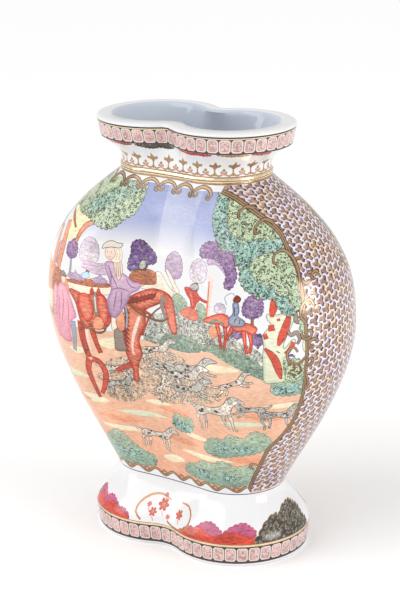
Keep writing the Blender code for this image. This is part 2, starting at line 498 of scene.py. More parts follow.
@dataclass
class Canvas:
    """The developed outside of the vase, on which patches of paint are laid in order."""

    form: VaseForm
    width: float = 480.0
    seam_gap: float = 3e-5
    outlines: list = field(default_factory=list)
    paints: list = field(default_factory=list)

    def lay(self, outline: Points, paint: Paint, centre: float) -> None:
        """Lay one patch over what is there.

        Args:
            outline: its outline, in mm from a middle line and in height.
            paint: its paint.
            centre: share of the way round at which the middle line stands.
        """
        outline = divided(outline)
        height = np.clip(outline[:, 1], 0.05, self.form.top_z - 0.05)
        place = centre + outline[:, 0] / self.form.girth(height)
        for turns in (-1, 0, 1):
            moved = place + turns
            if moved.max() > 0 and moved.min() < 1:
                inner = np.clip(moved, self.seam_gap, 1 - self.seam_gap)
                self.outlines.append(np.stack([inner * self.width, height], 1))
                self.paints.append(paint)

    def lay_round(self, low: float, high: float, paint: Paint) -> None:
        """Lay a plain band right round the vase between two heights.

        Args:
            low: its foot.
            high: its top.
            paint: its paint.
        """
        places = np.linspace(0, 1, 121) * self.width
        lower = np.stack([places, np.full_like(places, low)], 1)
        upper = np.stack([places[::-1], np.full_like(places, high)], 1)
        self.outlines.append(np.vstack([lower, upper]))
        self.paints.append(paint)

    def sheet_rows(self) -> list:
        """Return the heights of the rows of points that carry the curved form."""
        form = self.form
        spans = ((0.0, form.band_z, 3), (form.band_z, form.foot_z, 6), (form.foot_z, form.stem_z, 16),
            (form.stem_z, form.neck_z, 68), (form.neck_z, form.ring_z, 8), (form.ring_z, form.flare_z, 3),
            (form.flare_z, form.rim_z, 12), (form.rim_z, form.top_z, 6))
        rows = [0.0]
        for low, high, count in spans:
            rows += [mix(low, high, step / count) for step in range(1, count + 1)]
        return rows

    def cut(self, around: int) -> tuple:
        """Cut the sheet along every outline.

        Args:
            around: points in each row of the form.

        Returns:
            Corner places on the sheet, triangles, and the patch seen in each triangle.
        """
        points, edges = [], []
        creases = {self.form.foot_z, self.form.stem_z, self.form.neck_z, self.form.ring_z, self.form.rim_z}
        rows = self.sheet_rows()
        seam = []
        for number, height in enumerate(rows):
            straight = height in creases or number in (0, len(rows) - 1)
            shift = 0.0 if straight or number % 2 == 0 else 0.5
            places = [0.0] + [(step + shift) / around for step in range(1 - int(shift > 0), around)] + [1.0]
            first = len(points)
            points += [Vector((place * self.width, height)) for place in places]
            seam.append((first, len(points) - 1))
            if straight:
                edges += [(index, index + 1) for index in range(first, len(points) - 1)]
        for lower, upper in zip(seam, seam[1:]):
            edges += list(zip(lower, upper))
        for outline in self.outlines:
            first = len(points)
            points += [Vector(point) for point in outline]
            last = len(points) - 1
            edges += [(index, index + 1) for index in range(first, last)] + [(last, first)]
        cut = delaunay_2d_cdt(points, edges, [], 0, 1e-5, False)
        places = np.array([tuple(point) for point in cut[0]])
        triangles = np.array(cut[2])
        return places, triangles, self.seen(places, triangles)

    def seen(self, places: Points, triangles: Points) -> Points:
        """Return the number of the patch that shows in each triangle, or -1.

        Args:
            places: corner places on the sheet.
            triangles: corners of each triangle.

        Returns:
            One number a triangle.
        """
        middles = places[triangles].mean(axis=1)
        order = np.argsort(middles[:, 1])
        heights = middles[order, 1]
        patch = np.full(len(triangles), -1)
        for number, outline in enumerate(self.outlines):
            low, high = np.searchsorted(heights, (outline[:, 1].min(), outline[:, 1].max()))
            near = order[low:high]
            x = middles[near, 0]
            near = near[(x >= outline[:, 0].min()) & (x <= outline[:, 0].max())]
            if len(near):
                patch[near[inside(outline, middles[near])]] = number
        return patch


LAVENDER = Paint((138, 149, 194), (156, 164, 204), streak=0.2)
# Near white: the sky's own fade, and also mixed into the sky as a painted reflection of a softbox.
FADE_AND_REFLECTION = Paint((222, 222, 230), (226, 225, 226), streak=0.06)
GREEN = Paint((184, 206, 172), (174, 200, 164), curl=0.9)
LEAF = Paint((194, 210, 172), (184, 204, 168), curl=1.0)
TURQUOISE = Paint((158, 194, 180), (148, 186, 176), curl=1.0)
BUSH = Paint((188, 202, 172), (138, 172, 154), curl=0.15, hatch=0.7, streak=0.5)
DARK_BUSH = Paint((160, 178, 152), (124, 156, 142), curl=0.4, hatch=0.8, streak=0.6)
GREY_BANK = Paint((214, 212, 200), (188, 192, 182), curl=0.9, hatch=0.5, streak=0.6)
TWIGS = Paint((230, 200, 172), (226, 190, 160), curl=0.8, hatch=0.3, streak=0.6)
PURPLE = Paint((166, 128, 174), (142, 104, 156), curl=0.7, streak=0.6)
DEEP_PURPLE = Paint((112, 74, 134), (142, 116, 170), curl=0.7, streak=0.9)
PURPLE_INK = Paint((84, 56, 100), streak=0.2)
PALE_PURPLE = Paint((206, 182, 204), (186, 156, 186), curl=0.3, streak=0.6)
FAINT_PURPLE = Paint((214, 198, 214), (234, 222, 226), curl=0.3, streak=0.5)
MAUVE = Paint((216, 188, 202), (188, 150, 180), streak=0.8)
MAUVE_SHADE = Paint((160, 116, 162), (146, 102, 150), streak=0.4)
HORSE = Paint((200, 78, 52), (190, 70, 48), streak=1.0, hatch=0.3)
HORSE_DARK = Paint((140, 46, 28), (150, 50, 32), streak=0.8, hatch=0.4)
HORSE_LIGHT = Paint((228, 136, 104), (222, 120, 92), streak=0.6)
HORSE_SHEEN = Paint((246, 220, 208), (240, 202, 190), streak=0.3)
SCARLET = Paint((210, 76, 54), (200, 66, 50), streak=0.8)
CORAL = Paint((226, 118, 94), (226, 134, 108), streak=0.7)
PINK_COAT = Paint((232, 176, 186), (220, 148, 166), streak=0.6)
ROSE = Paint((210, 112, 136), (202, 98, 124), streak=0.4)
BLUE_COAT = Paint((104, 126, 172), (126, 138, 176), streak=0.5)
SLATE = Paint((150, 158, 178), (156, 158, 170), streak=0.5)
CREAM = Paint((244, 232, 214), (238, 224, 200), streak=0.4)
FLESH = Paint((244, 220, 204), (240, 206, 188), streak=0.15)
GREY = Paint((212, 208, 198), (190, 186, 174), streak=0.6, curl=0.5, hatch=0.2)
BOOT = Paint((156, 138, 126), (138, 120, 110), streak=0.4)
SALMON = Paint((234, 189, 160), (230, 169, 135), streak=0.35)
ORANGE = Paint((232, 164, 126), (228, 150, 112), streak=0.5)
RUST = Paint((196, 122, 86), (178, 104, 74), streak=0.8, hatch=0.6)
STRAW = Paint((240, 230, 198), (236, 222, 184), streak=0.3)
PALE_GREEN = Paint((224, 226, 196), (214, 218, 186), streak=0.3)
HOUND = Paint((238, 230, 216), (220, 204, 188), streak=0.6, curl=0.6)
HOUND_GREY = Paint((204, 200, 192), (186, 180, 170), streak=0.7, curl=0.7)
PANE_WHITE = Paint((224, 214, 208), streak=0.1)
CELL_PINK = Paint((228, 194, 188), (222, 180, 176), streak=0.5, curl=0.5)
CELL_RED = Paint((202, 112, 112), (192, 96, 100), streak=0.3)
CELL_BROWN = Paint((74, 58, 54), streak=0.2)
SPEAR_GILT = Paint((182, 146, 104), (160, 122, 84), finish=Finish.OLD_GILT)
CRIMSON = Paint((190, 58, 62), (170, 46, 56), streak=0.8)
MAGENTA = Paint((188, 98, 132), (176, 74, 108), streak=0.8)
OLIVE = Paint((88, 80, 68), (66, 60, 54), streak=0.6, curl=0.6)
IRON_RED = Paint((208, 92, 68), (198, 78, 60), streak=0.4)


@dataclass
class Painter:
    """A brush that draws in mm from a middle line, x to the right and z up."""

    canvas: Canvas
    centre: float = Side.FRONT.value
    flip: bool = False

    def lay(self, outline: Points, paint: Paint) -> None:
        """Lay one finished outline."""
        outline = np.asarray(outline, float)
        if self.flip:
            outline = outline * (-1, 1)
        self.canvas.lay(outline, paint, self.centre)

    def fill(self, points: Line, paint: Paint, ink: Paint = None, line: float = 0.45,
             steps: int = 3) -> Points:
        """Lay a smooth patch through a few points, with an ink line round it.

        Args:
            points: the points that the patch's edge passes.
            paint: what it is filled with.
            ink: paint of its edge, or None.
            line: width of the edge line.
            steps: points between one given point and the next.

        Returns:
            The patch's outline.
        """
        outline = curve(points, steps=steps)
        if ink is not None:
            self.lay(grow(outline, line), ink)
        self.lay(outline, paint)
        return outline

    def stroke(self, points: Line, widths: tuple, paint: Paint, ink: Paint = None,
               line: float = 0.4, steps: int = 3) -> None:
        """Lay a brush stroke, with an ink line round it.

        Args:
            points: the points that it passes.
            widths: its full widths from start to end.
            paint: its paint.
            ink: paint of its edge, or None.
            line: width of the edge line.
            steps: points between two given ones.
        """
        if ink is not None:
            self.lay(ribbon(points, tuple(width + 2 * line for width in widths), steps), ink)
        self.lay(ribbon(points, widths, steps), paint)

    def dot(self, x: float, z: float, radius: float, paint: Paint, count: int = 8) -> None:
        """Lay a round spot."""
        self.lay(ellipse(x, z, radius, radius, count=count), paint)

    def cloud(self, points: Line, paint: Paint, ink: Paint = None, bump: float = 1.0,
              pitch: float = 3.2, line: float = 0.4) -> Points:
        """Lay a patch with a scalloped edge and return its plain outline.

        Args:
            points: the points that the patch's edge passes.
            paint: what it is filled with.
            ink: paint of its edge, or None.
            bump: height of a bump.
            pitch: length of a bump.
            line: width of the edge line.

        Returns:
            The outline without its bumps.
        """
        outline = curve(points, steps=4)
        edge = scallop(outline, bump, pitch)
        if ink is not None:
            self.lay(grow(edge, line), ink)
        self.lay(edge, paint)
        return outline

    def curls(self, outline: Points, pitch: float, size: float, width: float, ink: Paint,
              seed: int) -> None:
        """Scatter small hooked strokes over a patch, as leaves are drawn.

        Args:
            outline: the patch.
            pitch: distance from one stroke to the next.
            size: radius of a stroke's hook.
            width: its width.
            ink: its paint.
            seed: start of the random draws.
        """
        draw = np.random.default_rng(seed)
        low, high = outline.min(axis=0), outline.max(axis=0)
        across, up = np.meshgrid(np.arange(low[0], high[0], pitch), np.arange(low[1], high[1], pitch))
        places = np.stack([across.ravel(), up.ravel()], 1)
        places = places + draw.uniform(-0.4, 0.4, places.shape) * pitch
        for x, z in places[inside(outline, places)]:
            turn = draw.uniform(0, 2 * math.pi)
            angles = turn + np.array((0.0, 1.3, 2.6, 3.6))
            radii = size * np.array((1.0, 0.95, 0.8, 0.4))
            hook = np.stack([x + radii * np.cos(angles), z + radii * np.sin(angles)], 1)
            self.stroke(hook.tolist(), (0.6 * width, width, 0.5 * width), ink, steps=1)

    def model(self, points: Line, edge: Paint, core: Paint, ink: Paint = None, line: float = 0.4,
              depth: float = 1.5) -> None:
        """Lay a patch that lightens from its edge to its core, as a rounded form is painted.

        Args:
            points: the points that the patch's edge passes.
            edge: the paint at the edge.
            core: the paint in the middle.
            ink: paint of its edge, or None.
            line: width of the edge line.
            depth: distance from the edge to the core.
        """
        outline = self.fill(points, edge, ink, line)
        for share in (0.4, 0.7, 1.0):
            self.lay(grow(outline, -depth * share), edge.toward(core, share))


class Hounds(Painter):
    """The pack: spotted hounds drawn from one unit drawing, running or standing."""

    BODY = ((0.0, 0.6), (0.12, 0.68), (0.4, 0.64), (0.62, 0.7), (0.74, 0.84), (0.84, 0.94), (0.95, 0.9),
        (1.05, 0.8), (1.04, 0.75), (0.9, 0.75), (0.8, 0.64), (0.74, 0.5), (0.58, 0.44), (0.34, 0.5),
        (0.14, 0.42), (0.02, 0.48))
    EAR = ((0.82, 0.92), (0.78, 0.84), (0.8, 0.75), (0.86, 0.82))
    TAIL = ((0.03, 0.62), (-0.1, 0.66), (-0.22, 0.8))
    RUNNING = (((0.7, 0.54), (0.82, 0.36), (0.98, 0.28)), ((0.62, 0.5), (0.68, 0.3), (0.84, 0.14)),
        ((0.1, 0.5), (0.02, 0.32), (-0.12, 0.24), (-0.18, 0.1)), ((0.16, 0.5), (0.2, 0.3), (0.06, 0.04)))
    STANDING = (((0.7, 0.54), (0.72, 0.3), (0.7, 0.04), (0.76, 0.02)), ((0.6, 0.5), (0.58, 0.28),
        (0.62, 0.06)), ((0.08, 0.5), (0.0, 0.3), (0.06, 0.18), (0.02, 0.0)), ((0.18, 0.5), (0.2, 0.28),
        (0.14, 0.06)))

    def draw(self, x: float, z: float, size: float, tilt: float, legs: tuple, low: float, paint: Paint,
             seed: int) -> None:
        """Draw one hound.

        Args:
            x: place of its hind feet across.
            z: height of its feet.
            size: length of its body, below zero where it faces left.
            tilt: slope of its body in degrees.
            legs: its legs, running or standing.
            low: how far its drawing is flattened.
            paint: its coat.
            seed: start of the random draws of its spots.
        """
        length, turn = abs(size), math.radians(tilt)
        drawing = np.array([(size * math.cos(turn), size * math.sin(turn)), (-length * low * math.sin(turn),
            length * low * math.cos(turn))])

        def at(*points: tuple) -> Points:
            """Return points of the drawing as places on the sheet."""
            return np.array(points) @ drawing + (x, z)

        for leg in legs:
            self.stroke(at(*leg), (0.085 * length, 0.04 * length, 0.025 * length), paint, INK, 0.3, 2)
        self.stroke(at(*self.TAIL), (0.05 * length, 0.025 * length), paint, INK, 0.3, 2)
        self.fill(at(*self.BODY), paint, INK, 0.36, 2)
        draw = np.random.default_rng(seed)
        for _ in range(5):
            (across, up), = at((draw.uniform(0.1, 0.7), draw.uniform(0.5, 0.64)))
            self.lay(ellipse(across, up, draw.uniform(0.02, 0.06) * length, 0.025 * length, tilt, 7), INK)
        self.fill(at(*self.EAR), GREY, INK, 0.3, 2)
        self.dot(*at((0.93, 0.85))[0], 0.35, INK, 6)


class Trees(Painter):
    """Far trees in purples, and near ones with curled leaves and red trunks."""

    CROWN = ((0.0, 0.0), (-0.42, 0.12), (-0.5, 0.45), (-0.36, 0.8), (0.0, 1.0), (0.36, 0.85), (0.5, 0.5),
        (0.42, 0.14))

    def far(self, x: float, z: float, wide: float, high: float, paint: Paint, trunk: Paint = BROWN_GILT,
            foot: float = 6.0) -> None:
        """Draw a far tree.

        Args:
            x: middle of its crown.
            z: foot of its crown.
            wide: width of the crown.
            high: height of the crown.
            paint: paint of the crown.
            trunk: paint of the trunk.
            foot: length of trunk below the crown.
        """
        self.stroke([(x - 0.4, z - foot), (x + 0.3, z - foot / 2), (x, z + high * 0.2)],
            (0.16 * wide, 0.1 * wide), trunk, SOFT_INK, 0.25, 2)
        edge = [(x + across * wide, z + up * high) for across, up in self.CROWN]
        crown = self.cloud(edge, paint, PURPLE if paint is FAINT_PURPLE else PURPLE_INK, 0.6, 2.0, 0.3)
        self.lay(grow(crown, -0.14 * wide), paint.toward(FAINT_PURPLE, 0.2))

    def leafage(self, points: Line, shades: tuple = ()) -> None:
        """Draw near foliage: a scalloped leaf-green mass with turquoise shades under its lobes.

        Args:
            points: edge of the mass.
            shades: edge of each shade.
        """
        self.cloud(points, LEAF, INK, 1.1, 3.0, 0.35)
        for shade in shades:
            edge = scallop(curve(shade, steps=2), 0.8, 2.6)
            self.lay(grow(edge, 0.25), SOFT_INK)
            self.lay(edge, TURQUOISE if shade[0][0] > 0 else TURQUOISE.toward(LEAF, 0.4))


class Picture(Trees):
    """The painted side: sky, trees, a hunt on a salmon ground, and bushes below."""

    NEAR_FIGURES = True

    RIGHT_EDGE = ((36, 218), (45, 215), (60, 208), (70, 203), (78, 198), (85, 190), (91, 183), (95, 175),
        (98, 165), (100.5, 150), (101.5, 138), (100, 125), (97, 110), (90, 95), (84, 87), (77, 80), (70, 74),
        (66, 68), (61, 60), (56, 52), (50, 41))
    LEFT_EDGE = ((-48, 218), (-56, 214), (-66, 208), (-76, 201), (-84, 193), (-91, 184), (-96, 174),
        (-99, 162), (-101, 150), (-101, 138), (-100, 125), (-96, 110), (-90, 97), (-84, 88), (-77, 80),
        (-70, 73), (-65, 66), (-60, 58), (-55, 50), (-50, 41))

    PAST_END = 0.4

    def lay(self, outline: Points, paint: Paint) -> None:
        """Lay one outline, kept on this side of the two ends but for a little overlap."""
        outline = np.array(outline, float)
        reach = self.canvas.form.girth(outline[:, 1]) / 4 + self.PAST_END
        outline[:, 0] = np.clip(outline[:, 0], -reach, reach)
        super().lay(outline, paint)

    def sky(self) -> None:
        """Lay the lavender sky, fading to the white glaze, with a lighter band that is a painted reflection
        of a softbox.
        """
        # From the middle line to 26 mm right the sky is lifted 0.35 of the way to white: a painted
        # reflection of a softbox in the glaze. The far right is lifted a little.
        for left, right, high, low in ((-60, 2, LAVENDER, 0.0), (2, 60, LAVENDER, 0.35),
                (26, 60, LAVENDER, 0.1)):
            upper = high.toward(FADE_AND_REFLECTION, low)
            self.lay([(left, 219.5), (right, 219.5), (right, 199), (left, 199)], upper)
            self.lay([(left, 199), (right, 199), (right, 184), (left, 184)], replace(FADE_AND_REFLECTION, top=upper.foot))

    def distance(self) -> None:
        """Lay the far trees, buildings and banks."""
        self.fill([(-62, 157), (-55, 162), (-44, 161), (-36, 163), (-28, 161), (-26, 155), (-40, 153),
            (-56, 153)], CREAM, SOFT_INK, 0.3)
        self.fill([(-60, 158), (-50, 161), (-38, 162), (-28, 160.5), (-29, 158), (-45, 157.5)], RUST)
        for x, wide in ((-51, 12), (-34, 8)):
            self.fill([(x - wide / 2, 160.5), (x - wide / 2 + 1, 163), (x - 1, 163.5), (x, 165.5),
                (x + 1.5, 163.5), (x + wide / 2 - 1, 163), (x + wide / 2, 160.5)], PALE_PURPLE, DEEP_PURPLE,
                0.3)
        self.far(-68.5, 165, 7, 13, PALE_PURPLE)
        self.far(-55.5, 172, 9.5, 10, PURPLE, SLATE, 10)
        self.far(-42, 171, 13, 14, FAINT_PURPLE)
        self.far(15, 170, 12.5, 14, PALE_PURPLE, HORSE_SHEEN, 8)
        self.far(35, 172, 12, 12, FAINT_PURPLE)
        self.fill([(20, 163), (17, 166), (13, 171), (9, 174), (10, 171), (13, 167), (17, 162)], CREAM,
            SOFT_INK, 0.3)
        self.far(52, 158, 6, 5, FAINT_PURPLE, foot=2)
        self.arched_tree()
        self.far(70.5, 157, 10.5, 12, PURPLE, foot=9)
        self.far(74, 142, 6.5, 6, DEEP_PURPLE, foot=2)
        self.far(62.5, 145.5, 6, 3.5, PURPLE, foot=1)
        self.fill([(-16, 166), (-12, 170), (-4, 171.5), (2, 170), (6, 167), (3, 164), (-4, 163), (-10, 162),
            (-15, 163)], RUST, SOFT_INK, 0.3)
        self.fill([(2, 171), (6, 170), (10, 165), (15, 161), (12, 157), (4, 160), (-8, 160), (-6, 162),
            (2, 164)], CREAM, SOFT_INK, 0.3)
        self.cloud([(-15, 179), (-15, 184), (-12, 186.5), (-8, 186.5), (-4, 184), (0, 181), (1.5, 178),
            (0, 175.5), (-4, 174.5), (-6, 171), (-11, 171), (-16, 169.5), (-16.5, 174)], DEEP_PURPLE, INK,
            0.5, 2.4, 0.4)
        self.fill([(-10, 172), (-8.5, 175.5), (-6, 176), (-5.5, 173), (-7.5, 171)], GREY, INK, 0.5)
        self.cloud([(13, 152), (14, 158), (18, 161), (24, 160), (27, 157), (26, 152), (20, 150)], BUSH,
            SOFT_INK, 0.6, 2.4, 0.3)

    def arched_tree(self) -> None:
        """Lay the purple tree whose crown arches over its pale trunk."""
        self.stroke([(44.6, 177), (44.8, 168), (44.4, 160), (44, 151)], (4.4, 2.6, 3.4), HORSE_SHEEN)
        self.stroke([(43.8, 174), (44, 164), (43.2, 151)], (0.8, 1.1, 1.4), CORAL)
        self.lay(curve([(40, 185.5), (46, 187.5), (52, 184), (54.5, 177), (51, 180), (46, 183), (41.5, 182)],
            steps=2), PALE_PURPLE)
        self.lay(scallop(ellipse(35, 177, 4.6, 5, 10), 0.5, 2.0), FAINT_PURPLE)
        self.cloud([(36, 186), (35, 190), (39, 193.5), (45, 193), (51, 192), (55, 188), (57, 183), (59, 178),
            (57, 172), (53.5, 173), (54, 178), (51, 183), (46, 186), (41, 186.5)], PURPLE, PURPLE_INK, 0.7,
            2.2, 0.35)

    def banks(self) -> None:
        """Lay the grey bank and the green strip beyond the ground."""
        self.fill([(0, 146), (10, 149), (17, 151), (30, 151), (40, 150.5), (52, 150), (60, 145), (74, 139),
            (76, 132), (60, 133), (40, 134), (20, 133), (5, 126), (-8, 127), (-4, 140)], GREY_BANK)
        self.cloud(ellipse(48, 146.5, 2.4, 3.2), ORANGE, SOFT_INK, 0.4, 2.0, 0.25)
        for points in (((4, 127), (5, 132), (12, 136), (22, 138), (32, 139), (38, 136), (36, 130), (26, 127),
                (14, 127)), ((38, 136), (48, 139), (60, 138), (70, 134), (77, 127), (76, 121), (66, 125),
                (56, 130), (46, 133))):
            self.cloud(points, DARK_BUSH, SOFT_INK, 0.6, 3.0, 0.3)

    def ground(self) -> None:
        """Lay the salmon ground with its pale streaks and bushes."""
        self.fill([(-99, 165), (-80, 164), (-66, 163), (-58, 158), (-56, 146), (-60, 132), (-99, 128)],
            ORANGE, RUST, 0.4)
        self.lay([(-99, 146), (-76, 148), (-66, 145), (-68, 138), (-99, 136)], PALE_GREEN)
        self.fill([(-74, 161), (-66, 163), (-62, 158), (-62, 150), (-68, 147), (-76, 150)], RUST, SOFT_INK,
            0.3)
        self.fill([(-99, 132), (-82, 134), (-72, 137), (-66, 135), (-70, 131), (-99, 128)], DARK_BUSH)
        self.lay(curve([(-100, 131), (-70, 131), (-45, 132), (-25, 132), (-5, 129), (5, 128), (22, 128.5),
            (34, 131.5), (45, 134.5), (54, 131), (63, 127), (75, 121.5), (90, 116), (101, 112), (101, 60),
            (80, 41.5), (0, 41.2), (-80, 41.5), (-101, 60)]), SALMON)
        streaks = ((51, 125.5, 12, 2.2, STRAW), (20, 99.5, 12, 1.8, STRAW), (38, 106, 10, 2, PALE_GREEN),
            (60, 91.5, 16, 1.6, PALE_GREEN), (-14, 81.5, 16, 1.8, PALE_GREEN), (25, 76, 11, 1.7, STRAW),
            (-28, 69.5, 18, 1.6, STRAW), (30, 63.5, 20, 1.8, STRAW), (3, 55, 8, 2.6, STRAW),
            (-28, 125, 9, 3.5, STRAW), (-47, 86, 12, 3, STRAW), (-2, 91, 9, 1.6, STRAW),
            (-60, 100, 14, 2, PALE_GREEN), (-52, 117, 8, 2.2, STRAW), (84, 104, 10, 1.6, STRAW))
        for x, z, wide, high, paint in streaks:
            self.fill([(x - wide, z - 0.4), (x - wide * 0.4, z + high * 0.8), (x + wide * 0.4, z + high),
                (x + wide, z + 0.5), (x + wide * 0.3, z - high * 0.7), (x - wide * 0.3, z - high)], paint)
        for x, z, wide, high in ((57, 65, 12, 3), (12, 70, 14, 2.4), (-30, 76, 16, 2.2), (10, 88, 12, 2),
                (75, 97, 14, 3), (28, 121, 10, 1.4), (-62, 84, 12, 2.6), (40, 112, 9, 1.5)):
            self.fill([(x - wide, z), (x - wide * 0.3, z + high), (x + wide, z + 0.6),
                (x + wide * 0.2, z - high)], ORANGE)
        self.bush([(-46, 48), (-47, 57), (-40, 64), (-33, 67), (-27, 62), (-20, 56), (-12, 53), (-13, 47),
            (-30, 45)])
        self.bush([(12, 48), (13, 54), (20, 56), (26, 60), (34, 60), (40, 63), (48, 60), (55, 61), (60, 58),
            (58, 50), (46, 46), (28, 46)])
        self.bush([(31, 69), (34, 76), (40, 79), (46, 79), (50, 83), (58, 81), (64, 86), (70, 84), (72, 77),
            (64, 72), (50, 69), (40, 67)])
        self.bush([(7, 78), (8, 84), (11, 87), (16, 85), (21, 87), (24, 84), (20, 78), (14, 76.5)])
        self.bush([(80, 113), (81, 119), (86, 122), (94, 121), (99, 117), (97, 112), (88, 111)])

    def bush(self, points: Line) -> None:
        """Lay one low bush."""
        bush = self.cloud(points, BUSH, SOFT_INK, 0.9, 3.6, 0.3)
        for share in (0.3, 0.6):
            x, z = mix(bush.min(axis=0), bush.max(axis=0), np.array((share, 0.35)))
            self.lay(scallop(ellipse(x, z, 5.5, 2.6), 0.7, 2.8), TURQUOISE)

    def pack(self) -> None:
        """Draw the hounds over the ground."""
        pack = Hounds(self.canvas, self.centre, self.flip)
        self.fill([(-36, 92), (-34, 112), (-20, 118), (-10, 122), (0, 126), (14, 126), (24, 124), (30, 117),
            (46, 113), (50, 106), (34, 100), (14, 94), (0, 92), (-8, 96), (-20, 88)], TWIGS)
        run, stand = Hounds.RUNNING, Hounds.STANDING
        rows = ((-34, 90, 20, 6, stand, 0.8, HOUND_GREY), (-36, 100, 22, 4, run, 0.7, HOUND),
            (-8, 114, 26, 14, run, 0.6, HOUND), (-4, 108, 22, -6, run, 0.7, GREY),
            (4, 93, 17, 52, run, 0.8, HOUND), (16, 108, 36, 14, run, 0.45, GREY),
            (10, 101, 36, 13, run, 0.5, HOUND), (14, 95, 34, 16, run, 0.45, GREY),
            (52, 108, 22, 24, run, 0.5, HOUND), (70, 88, 24, -4, stand, 0.8, HOUND_GREY),
            (74, 94, -20, 0, run, 0.7, GREY), (31, 83, 33, 8, stand, 0.72, HOUND), (-17, 59, 25, 0, stand,
            0.72, HOUND))
        for seed, row in enumerate(rows):
            pack.draw(*row, seed)

    def far_riders(self) -> None:
        """Draw the two small riders beyond the bank."""
        self.fill([(36, 151), (36, 158), (39, 161), (43, 158), (42, 151)], BUSH, SOFT_INK, 0.3)
        self.fill([(21, 151), (25, 154.5), (31, 157), (36, 155.5), (37, 151.5), (30, 150)], CORAL, SCARLET,
            0.4)
        self.fill([(24.5, 166.5), (30, 167.5), (36, 166), (38, 163), (36, 160.5), (34, 157), (31, 157),
            (30, 161), (27, 163)], SCARLET, HORSE_DARK, 0.3)
        self.stroke([(30, 165.5), (32, 161), (32.5, 158.5)], (1.8, 1.0), CORAL)
        self.stroke([(35, 165), (40, 163), (43.5, 162.5)], (1.6, 1.0), SCARLET, HORSE_DARK, 0.3)
        self.fill([(29.5, 168), (33, 170.8), (36.5, 170), (36, 167.8), (32, 167)], GREY, INK, 0.35)
        for points in (((50, 154), (52, 146), (53, 138)), ((55, 154), (56, 146), (55, 138)), ((66, 151),
                (67, 143), (68, 136.5)), ((69, 151), (70.5, 143), (69.5, 137)), ((60, 151), (58, 147),
                (56, 143))):
            self.stroke(points, (2.8, 1.5, 1.1), SCARLET, HORSE_DARK, 0.28)
            self.stroke(points[:2], (0.9, 0.5), CORAL)
        for points in (((41, 152), (46, 155), (52, 157.5), (57, 157), (58.5, 153), (56, 150), (52, 152),
                (47, 151)), ((59, 152), (63, 154), (70, 153.5), (73.5, 151), (71, 147.5), (67, 149.5),
                (62, 149))):
            self.model(points, SCARLET, CORAL, HORSE_DARK, 0.3, 1.2)
        self.stroke([(45, 151), (50, 153.5), (55, 152)], (1.4, 1.6, 1.0), OLIVE.toward(BUSH, 0.7))
        self.model([(59.5, 164), (62, 165), (63.2, 160), (62.5, 157.5), (66.5, 155), (66, 152.5), (59, 152),
            (57.5, 155), (60, 159)], BLUE_COAT, SLATE, INK, 0.3, 1.2)
        for points in (((60.5, 162), (61, 157)), ((62, 156.5), (60.5, 153.5)), ((64, 155.5), (63.5, 153))):
            self.stroke(points, (0.5, 0.4), INK)
        self.fill([(59.5, 165.5), (61, 168.5), (63.5, 167), (62.5, 165)], HORSE_DARK, INK, 0.3)
        self.stroke([(56, 163), (54.5, 167), (58, 169.5), (60, 168.5)], (0.5, 0.5), SLATE)

    def lead_horse(self) -> None:
        """Draw the large red horse of the near rider."""
        self.stroke([(-4.5, 147), (-7, 140), (-9.5, 132)], (5.5, 4.0, 2.6), HORSE, HORSE_DARK, 0.4)
        self.stroke([(-4.5, 145), (-7, 138)], (1.2, 0.8), HORSE_SHEEN)
        self.stroke([(-16, 113), (-22, 110.5), (-27, 107.5)], (3.4, 2.4, 2.4), HORSE, HORSE_DARK, 0.4)
        self.model([(-19, 151), (-12, 149), (-8, 147), (-6, 141), (-9, 133), (-11, 128), (-9.5, 121),
            (-12, 115), (-13.5, 109), (-13.5, 103), (-16.5, 103), (-16.5, 110), (-19, 117), (-20.5, 124),
            (-21, 131), (-19, 137), (-19, 144)], HORSE, HORSE_LIGHT, HORSE_DARK, 0.4, 1.8)
        for z in np.arange(147, 121, -2.6):
            self.stroke([(-19 - 0.06 * (147 - z), z), (-16 - 0.06 * (147 - z), z - 3.4)], (2.4, 0.6),
                HORSE_DARK)
        self.stroke([(-10, 143), (-12.5, 136), (-14.5, 130), (-15.5, 124), (-15, 119)], (1.4, 2.4, 1.6, 0.9),
            HORSE_SHEEN)
        self.model([(-18, 151), (-14, 155), (-7, 158.5), (0, 160.8), (8, 160.5), (13, 158.5), (14, 155),
            (9, 154.5), (4, 153), (0, 151), (-4, 149), (-8, 146.5), (-13, 148)], HORSE, HORSE_LIGHT,
            HORSE_DARK, 0.4, 1.8)
        for x, z in ((-15, 151), (-12, 152), (-9.6, 152.6), (-7, 153.6), (-4.6, 154.4), (-2.2, 155.4),
                (0.4, 156.2)):
            self.stroke([(x - 2.4, z - 2), (x, z + 0.8), (x + 1.6, z + 3.2)], (0.8, 2.6, 0.6), HORSE_DARK)
        self.fill([(3, 158.5), (9, 159), (11, 156.5), (6, 155)], HORSE_LIGHT)
        self.model([(8, 159), (13.5, 157.5), (15.5, 152), (16.5, 146), (17.5, 140.5), (15.5, 137.5),
            (12.5, 138.5), (10.5, 143), (9, 149), (7, 154)], SCARLET, CORAL, HORSE_DARK, 0.4, 1.2)
        self.stroke([(7, 158), (6, 152), (8.5, 145)], (3.0, 2.2, 1.2), BOOT, SOFT_INK, 0.3)
        self.stroke([(-17, 149.5), (-10, 145), (-3, 143.2), (5, 142.8), (11, 146)], (0.9, 0.8), BROWN_GILT,
            INK, 0.2)
        self.stroke([(-3, 143.5), (1, 148), (5, 151)], (0.7, 0.6), BROWN_GILT, INK, 0.2)

